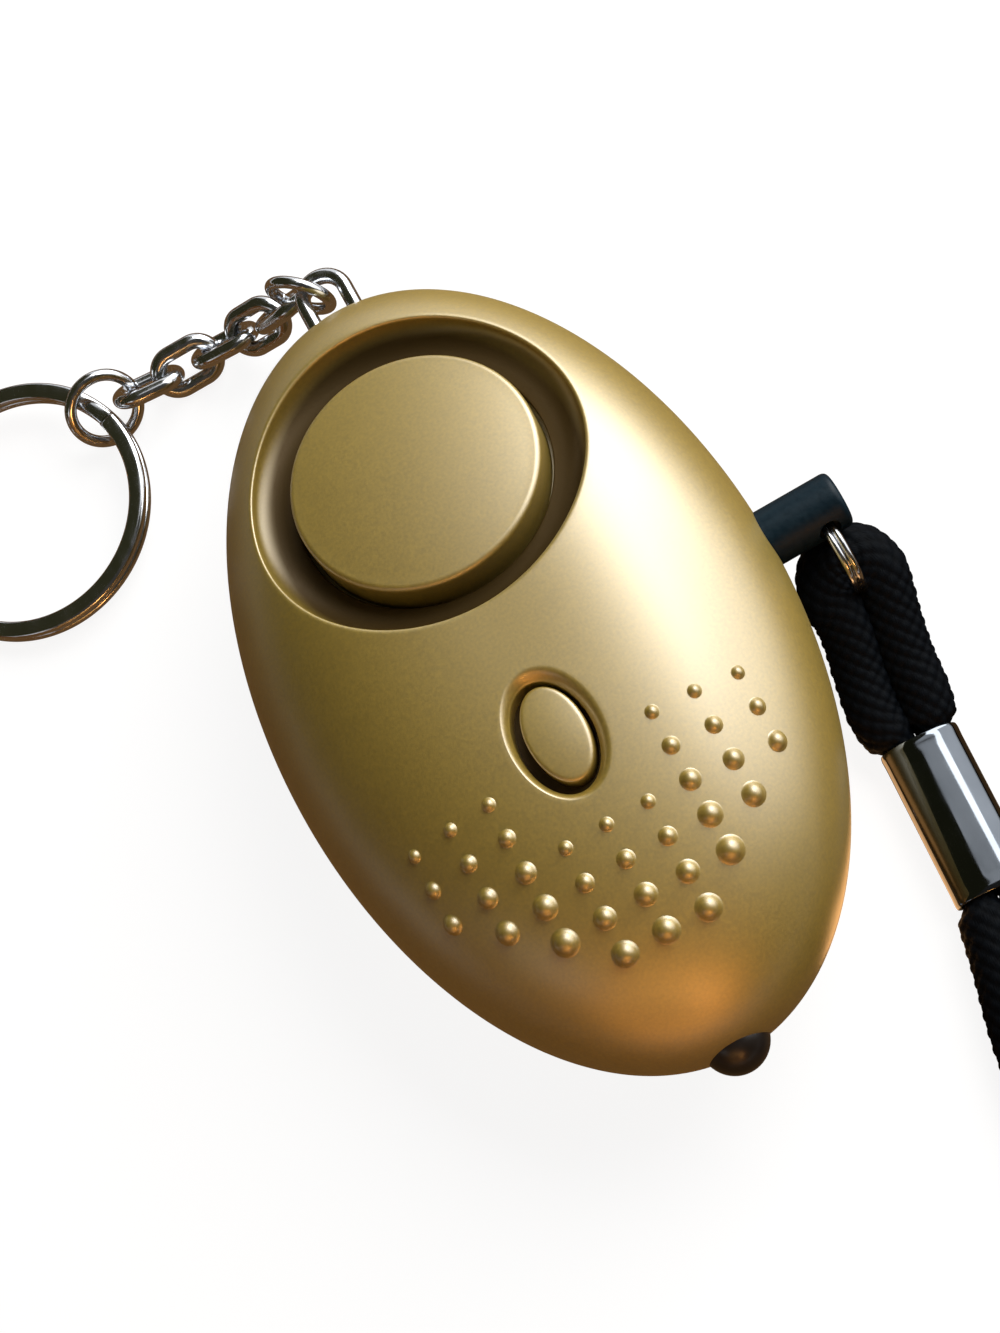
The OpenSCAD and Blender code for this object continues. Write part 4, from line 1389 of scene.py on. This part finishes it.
@dataclass
class SpeakerCap:
    """Round cap on a skirt, with a flange under the well's floor."""

    speaker: Place
    radius: float = 9.1
    edge: float = 0.42
    skin: float = 1.4
    skirt: float = 1.0
    flange_radius: float = 10.6
    flange_top: float = 3.82
    flange_bottom: float = 4.6
    crown: float = 0.75
    edge_drop: float = 0.05
    ease: float = 0.1
    # Painted shade on the cap: it starts this far down the speaker's axis and is darkest this far down.
    shade_from: float = 1.7
    shade_full: float = 4.5

    def build(self) -> None:
        """Turns the cap's outline, a slightly crowned top with a round edge, about the speaker's axis."""
        r, q, ease = self.radius, self.radius - self.skirt, self.ease
        reach = ramp(count=16, stop=r - self.edge)
        top = join(reach, -self.crown * (reach / r) ** 2)
        low = float(top[-1, 1])
        rest = rounded(
            [(r - self.edge, low, 0), (r, low - self.edge_drop, self.edge), (r, -self.flange_top, ease),
             (self.flange_radius, -self.flange_top, ease), (self.flange_radius, -self.flange_bottom, ease),
             (q, -self.flange_bottom, ease), (q, -self.skin, ease), (0.0, -self.skin, 0)], steps=10
        )
        skin = Skin().add(self.speaker.lathe(np.vstack([top, rest[1:]]), sides=128))
        made = piece("speaker_cap_skin", skin, GOLD, Slot.GOLD, Body.CASE, "speaker_cap")
        # Painted shade: the skirt and flange darken with their depth along the speaker's axis.
        deep = -(spots(made) - self.speaker.origin) @ self.speaker.axes[:, 2]
        paint_groove_shade(made, deep - self.shade_from, self.shade_full)


@dataclass
class LightButton:
    """Oval push button with a low crown."""

    y: float = -8.8
    half: Pair = (2.1, 3.5)
    top: float = 19.78
    crown: float = 20.0
    edge: float = 0.32
    bottom: float = 17.21
    flange: float = 1.1
    flange_top: float = 17.71
    ease: float = 0.1
    under: float = 1.9
    crown_reach: float = 1.0
    # Painted shade on the button: it starts this far under the top and is darkest this far under.
    shade_from: float = 0.5
    shade_full: float = 0.8

    def fall(self, x: Array, y: Array) -> Array:
        """Drop of the crown's ball from its top over a point of the plan."""
        return self.crown - np.sqrt(self.crown**2 - x**2 - y**2)

    def build(self) -> None:
        """Ovals from the crown's middle out over the eased edge, down the side and under the flange.

        The outline gives each oval's way out from the button's side and its height under the top. The crown's
        drop fades out down the side.
        """
        a = ramp(count=97, stop=TURN)[:-1]
        share = ramp(count=14)[:-1]
        small = np.array(self.half) - self.edge
        top_x = share[:, None] * small[0] * np.cos(a)
        top_y = share[:, None] * small[1] * np.sin(a)
        top = join(top_x, self.y + top_y, self.top - self.fall(top_x, top_y))
        flange, bottom = self.flange_top - self.top, self.bottom - self.top
        side = rounded(
            [(-self.edge, 0.0, 0), (0.0, 0.0, self.edge), (0.0, flange, self.ease),
             (self.flange, flange, self.ease), (self.flange, bottom, self.ease),
             (-self.under, bottom, 0)], steps=8
        )
        out, level = side[:, :1], side[:, 1:]
        x, y = (self.half[0] + out) * np.cos(a), (self.half[1] + out) * np.sin(a)
        near = np.clip(1 + level / self.crown_reach, 0, 1)
        body = join(x, self.y + y, self.top + level - near * self.fall(x, y))
        under = np.broadcast_to(np.array([0.0, self.y, self.bottom]), (1,) + body.shape[1:])
        skin = Skin().add(np.concatenate([top, body, under]))
        made = piece("light_button_skin", skin, GOLD, Slot.GOLD, Body.BUTTON, "light_button")
        # Painted shade: the button's side darkens with its depth under the top.
        paint_groove_shade(made, self.top - spots(made)[:, 2] - self.shade_from, self.shade_full)


@dataclass
class Lamp:
    """Small round lamp in the seam, with its flange."""

    radius: float = 2.4
    tip: float = -32.4
    length: float = 8.0
    flange: float = 2.9
    flange_length: float = 1.0
    ease: float = 0.15
    inner_ease: float = 0.1

    def build(self) -> None:
        """Turns a half round, a straight side and a flange about the lamp's axis."""
        place = Place.turned((0.0, self.tip, FORM.seam), roll=-90)
        a = ramp(count=16, stop=np.pi / 2)
        dome = join(self.radius * np.sin(a), self.radius * (1 - np.cos(a)))
        far, near = self.length, self.length - self.flange_length
        rest = rounded([
            (self.radius, self.radius, 0), (self.radius, near, self.inner_ease),
            (self.flange, near, self.ease), (self.flange, far, self.ease), (0.0, far, 0),
        ])
        skin = Skin().add(place.lathe(np.vstack([dome, rest[1:]]), sides=64))
        piece("lamp_lens_skin", skin, LENS, Slot.LENS, Body.CASE, "lamp")


@dataclass
class PullPin:
    """Black pin: a round head with a cross hole for its ring, and a stem."""

    y: float = -0.75
    radius: float = 2.1
    head: float = 16.25
    tip: float = 24.7
    ease: float = 0.55
    stem: float = 1.2
    stem_end: float = 11.05
    hole_x: float = 22.9
    hole_offset: float = 0.9
    hole_radius: float = 0.85
    lean: float = 50.0
    shoulder: float = 0.3
    neck_ease: float = 0.1
    stem_ease: float = 0.4
    window_half: float = 1.22
    window_turns: Pair = (18.0, 104.0)
    window_middle: float = 62.0
    window_slant: float = 0.55

    def around(self, x: Array, r: Array | float, angle: Array) -> Array:
        """Points at distance x, radius r and an angle from the direction of the hole's offset."""
        turn = np.radians(180 + self.lean)
        y = self.y + r * np.cos(angle + turn)
        return join(x, y, FORM.seam + r * np.sin(angle + turn))

    def on_side(self, plan: Array) -> Array:
        """Points of the head's side at pairs of a distance along the pin and an angle."""
        return self.around(plan[..., 0], self.radius, plan[..., 1])

    def mouth(self, x: Array, angle: Array) -> tuple[Array, Array]:
        """Points of the hole's mouth that face points of the head's side.

        A point of the hole at angle b lies at hole_x + radius·cos(b) along the pin, and its offset from the
        pin's axis is offset + radius·sin(b); the head's side gives its angle.

        Args:
            x: Distances along the pin.
            angle: Angles on the head's side, all of one sign.

        Returns:
            Distances along the pin and angles of the mouth's points.
        """
        b = np.arctan2(np.radians(self.window_middle) - np.abs(angle), (x - self.hole_x) * self.window_slant)
        along = self.hole_x + self.hole_radius * np.cos(b)
        offset = self.hole_offset + self.hole_radius * np.sin(b)
        return along, np.sign(angle) * np.arccos(offset / self.radius)

    def build(self) -> None:
        """Turns the pin's outline about its axis, with a window filled by a fan at each mouth of the hole."""
        angle = ramp(count=97, start=-np.pi, stop=np.pi)[:-1]
        first, last = self.head + self.shoulder, self.tip - self.ease
        straight = join(ramp(44, first, last), self.radius)
        nose = rounded(
            [(last, self.radius, 0), (self.tip, self.radius, self.ease), (self.tip, 0.0, 0)], steps=9
        )
        tail = rounded([
            (self.stem_end, 0.0, 0), (self.stem_end, self.stem, self.stem_ease),
            (self.head, self.stem, self.neck_ease), (self.head, self.radius, self.shoulder),
            (first, self.radius, 0),
        ])
        outline = np.vstack([tail[:-1], straight, nose[1:]])
        grid = self.around(outline[:, :1], outline[:, 1:], angle)
        drop = np.zeros((len(outline) - 1, len(angle)), bool)
        near = np.abs(outline[:, 0] - self.hole_x) < self.window_half
        found = np.argwhere(near & (outline[:, 1] == self.radius))
        r0, r1 = found.min(), found.max()
        low, high = np.radians(self.window_turns)
        rows = np.arange(r0, r1 + 1)
        skin = Skin()
        loops = []
        for sign in (-1, 1):
            found = np.argwhere((sign * angle > low) & (sign * angle < high))
            c0, c1 = found.min(), found.max()
            drop[r0:r1, c0:c1] = True
            columns = np.arange(c0, c1 + 1)[::sign]
            wide, tall = np.ones(len(columns) - 1, int), np.ones(len(rows) - 1, int)
            r = np.concatenate([wide * r0, rows[:-1], wide * r1, rows[:0:-1]])
            c = np.concatenate([columns[:-1], tall * columns[-1], columns[:0:-1], tall * columns[0]])
            x, a = outline[r, 0], angle[c]
            fan = fill(join(*self.mouth(x, a)), join(x, a), rows=7, lift=self.on_side)
            skin.add(fan)
            loops.append(fan[0])
        w = ramp(count=9)[:, None, None]
        skin.add((1 - w) * loops[0] + w * loops[1]).add(grid, drop=drop)
        piece("pull_pin_skin", skin, BLACK, Slot.BLACK, Body.PIN, "pull_pin")


@dataclass
class WireWork:
    """Bent wire: the eye in the case, the pin's ring, the chain and the key ring."""

    eye_wire: float = 1.2
    eye_bend: float = 1.7
    eye_y: float = 33.4
    eye_inner: float = 27.95
    eye_foot: float = 1.7
    eye_ease: float = 0.5
    eye_step: float = 0.25
    eye_side: float = 135.0
    ring_wire: float = 0.95
    link_wire: float = 1.1
    link_look: float = 1.24
    end_radius: float = 2.325
    jump_radius: float = 2.725
    link_bend: float = 1.55
    link_half: float = 0.9
    slack: float = 0.3
    ring_gap: float = 0.01
    end_split: float = 30.0
    jump_split: float = 100.0
    yaw: tuple[float, ...] = (138, 156, 163, 171, 180, 180, 184)
    slope: tuple[float, ...] = (56, 40, 28, 11, -1, -10, -14)
    roll: tuple[float, ...] = (90, 40, -45, 45, -45, 45, -52)
    pin_ring_middle: Point = (22.9, -3.13, 6.17)
    pin_ring_radius: float = 3.1
    pin_ring_wire: float = 0.55
    pin_ring_slim: float = 0.02
    pin_ring_turn: float = 0.26
    pin_ring_turns: float = 1.9
    pin_ring_split: float = 300.0
    key_middle: Point = (-29.142, 34.479, 1.695)
    key_yaw: float = 202.0
    key_tilt: float = 4.661
    key_radius: float = 9.7
    key_band: float = 1.4
    key_height: float = 0.83
    key_corner: float = 0.8
    key_turn: float = 0.43
    key_turns: float = 1.93
    key_split: float = 200.0

    def places(self) -> list[Place]:
        """Frames of the end ring, the links and the jump ring, each hung on the one before.

        Returns:
            Seven frames, whose x runs along the chain.
        """
        half = [self.end_radius, *[self.link_bend + self.link_half] * 5, self.jump_radius]
        wire = [self.ring_wire, *[self.link_wire] * 5, self.ring_wire]
        side = np.radians(self.eye_side)
        hung = np.array([self.eye_bend * np.cos(side), self.eye_y + self.eye_bend * np.sin(side), FORM.seam])
        before = self.eye_wire
        made = []
        for h, w, *turns in zip(half, wire, self.yaw, self.slope, self.roll):
            place = Place.turned(hung, *turns)
            heading = place.axes[:, 0]
            middle = hung + heading * (h - (before + w) / 2 - self.slack)
            made.append(Place(middle, place.axes))
            hung, before = middle + heading * h, w
        return made

    def ring_path(self, radius: float, split: float) -> Array:
        """Circle in the frame's plane, open by a small gap at one angle in degrees."""
        start = np.radians(split)
        a = ramp(97, start + self.ring_gap, start + TURN - self.ring_gap)
        return join(radius * np.cos(a), radius * np.sin(a), 0.0)

    def link_path(self) -> Array:
        """Long round loop: two half circles joined by straight sides."""
        a = ramp(count=33, start=-np.pi / 2, stop=np.pi / 2)
        right = join(self.link_half + self.link_bend * np.cos(a), self.link_bend * np.sin(a), 0.0)
        return np.concatenate([right, right * np.array([-1, -1, 1])])

    def loop(
        self, name: str, node: str, body: Body, place: Place, path: Array, wire: float, closed: bool = False
    ) -> None:
        """Makes one loop of round wire.

        Args:
            name: Name of the piece.
            node: Node of the frame that it stands for.
            body: Body that it rides on.
            place: Frame of the loop, its axis along z.
            path: Middle line in that frame.
            wire: Diameter of the wire.
            closed: Whether the line is closed.
        """
        grid = sweep(place.put(path), circle(wire / 2, sides=28), place.axes[:, 2], closed)
        piece(name, Skin().add(grid), CHROME, Slot.CHROME, body, node)

    def eye(self) -> None:
        """Eye of wire: two feet, two legs and a half round, in the plane of the seam."""
        r = self.eye_bend
        a = ramp(count=41, stop=np.pi)
        bend = join(r * np.cos(a), self.eye_y + r * np.sin(a))
        foot = (r + self.eye_foot, self.eye_inner, 0)
        leg = rounded([foot, (r, self.eye_inner, self.eye_ease), (r, self.eye_y, 0)], steps=10)
        path = np.vstack([leg[:-1], bend, (leg * np.array([-1, 1]))[::-1][1:]])
        x, y = resample(path, self.eye_step).T
        place = Place.turned((0.0, 0.0, FORM.seam))
        self.loop("chain_eye_wire", "chain_eyelet", Body.CASE, place, join(x, y, 0.0), self.eye_wire)

    def split_ring(self, radius: float, offset: float, split: float, turns: float, steps: int) -> Array:
        """Two turns of a split ring: the height steps smoothly from one turn to the other past the split.

        Args:
            radius: Radius of the middle line.
            offset: Height of each turn over or under the middle.
            split: Angle where it starts, in degrees.
            turns: Length in turns, a little under two.
            steps: Points of the line.

        Returns:
            Points of the line in the ring's frame.
        """
        start = np.radians(split)
        a = ramp(steps, 0, turns * TURN)
        way = np.clip((a - (turns - 1) * TURN) / ((2 - turns) * TURN), 0, 1)
        height = offset * (2 * way * way * (3 - 2 * way) - 1)
        return join(radius * np.cos(a + start), radius * np.sin(a + start), height)

    def key_ring(self) -> None:
        """Band with a full, softly cornered section (sine and cosine to a power under one), wound twice."""
        section = full_circle(self.key_corner, sides=40) * np.array([self.key_band, self.key_height]) / 2
        place = Place.turned(self.key_middle, self.key_yaw, self.key_tilt)
        path = self.split_ring(self.key_radius, self.key_turn, self.key_split, self.key_turns, steps=400)
        grid = sweep(place.put(path), section, place.axes[:, 2])
        piece("key_ring_band", Skin().add(grid), CHROME, Slot.CHROME, Body.KEY_RING, "key_ring")

    def pin_ring(self) -> None:
        """Thin split ring of two turns in the head of the pin."""
        place = Place(np.array(self.pin_ring_middle), np.array([[0.0, 0, 1], [1, 0, 0], [0, 1, 0]]))
        path = self.split_ring(
            self.pin_ring_radius, self.pin_ring_turn, self.pin_ring_split, self.pin_ring_turns, steps=220
        )
        wire = self.pin_ring_wire - self.pin_ring_slim
        self.loop("pin_ring_wire", "pin_ring", Body.PIN_RING, place, path, wire)

    def build(self) -> None:
        """Makes every piece of wire."""
        self.eye()
        places = self.places()
        ring = self.ring_path(self.end_radius, self.end_split)
        self.loop("end_ring_wire", "end_ring", Body.END_RING, places[0], ring, self.ring_wire)
        link = self.link_path()
        for k in range(1, 6):
            body = Body[f"LINK_{k}"]
            self.loop(f"{body.value}_wire", body.value, body, places[k], link, self.link_look, closed=True)
        ring = self.ring_path(self.jump_radius, self.jump_split)
        self.loop("jump_ring_wire", "jump_ring", Body.JUMP_RING, places[6], ring, self.ring_wire)
        self.key_ring()
        self.pin_ring()


@dataclass
class InnerParts:
    """Pieces that keep their shapes from the frame and get their finishes here."""

    finishes: tuple[tuple[Finish, tuple[str, ...]], ...] = (
        (CHROME, ("case_screws",)),
        (BLACK, ("piezo_holder", "switch_plunger", "light_switch", "pin_jack")),
        (BRASS, ("piezo_disc", "plus_contact", "minus_contact", "pin_contacts")),
        (CELL, ("cell_1", "cell_2", "cell_3")),
        (BOARD, ("circuit_board",)),
        (JACKET, ("piezo_wires",)),
    )

    def build(self) -> None:
        """Dresses each node in its finish."""
        for finish, names in self.finishes:
            for name in names:
                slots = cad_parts[name].data.materials
                slots.clear()
                slots.append(material_of(finish))
                LOG.info("%s: dressed", name)


def main() -> None:
    """Builds the studio and the pieces in order."""
    logging.basicConfig(level=logging.INFO, format="%(name)s: %(message)s")
    speaker = Place.turned(SPEAKER_MIDDLE, roll=SPEAKER_LEAN)
    for part in (
        Studio(), WristStrap(), FrontShell(speaker), BackShell(), SpeakerCap(speaker), LightButton(), Lamp(),
        PullPin(), WireWork(), InnerParts(),
    ):
        part.build()


if __name__ == "__main__":
    main()
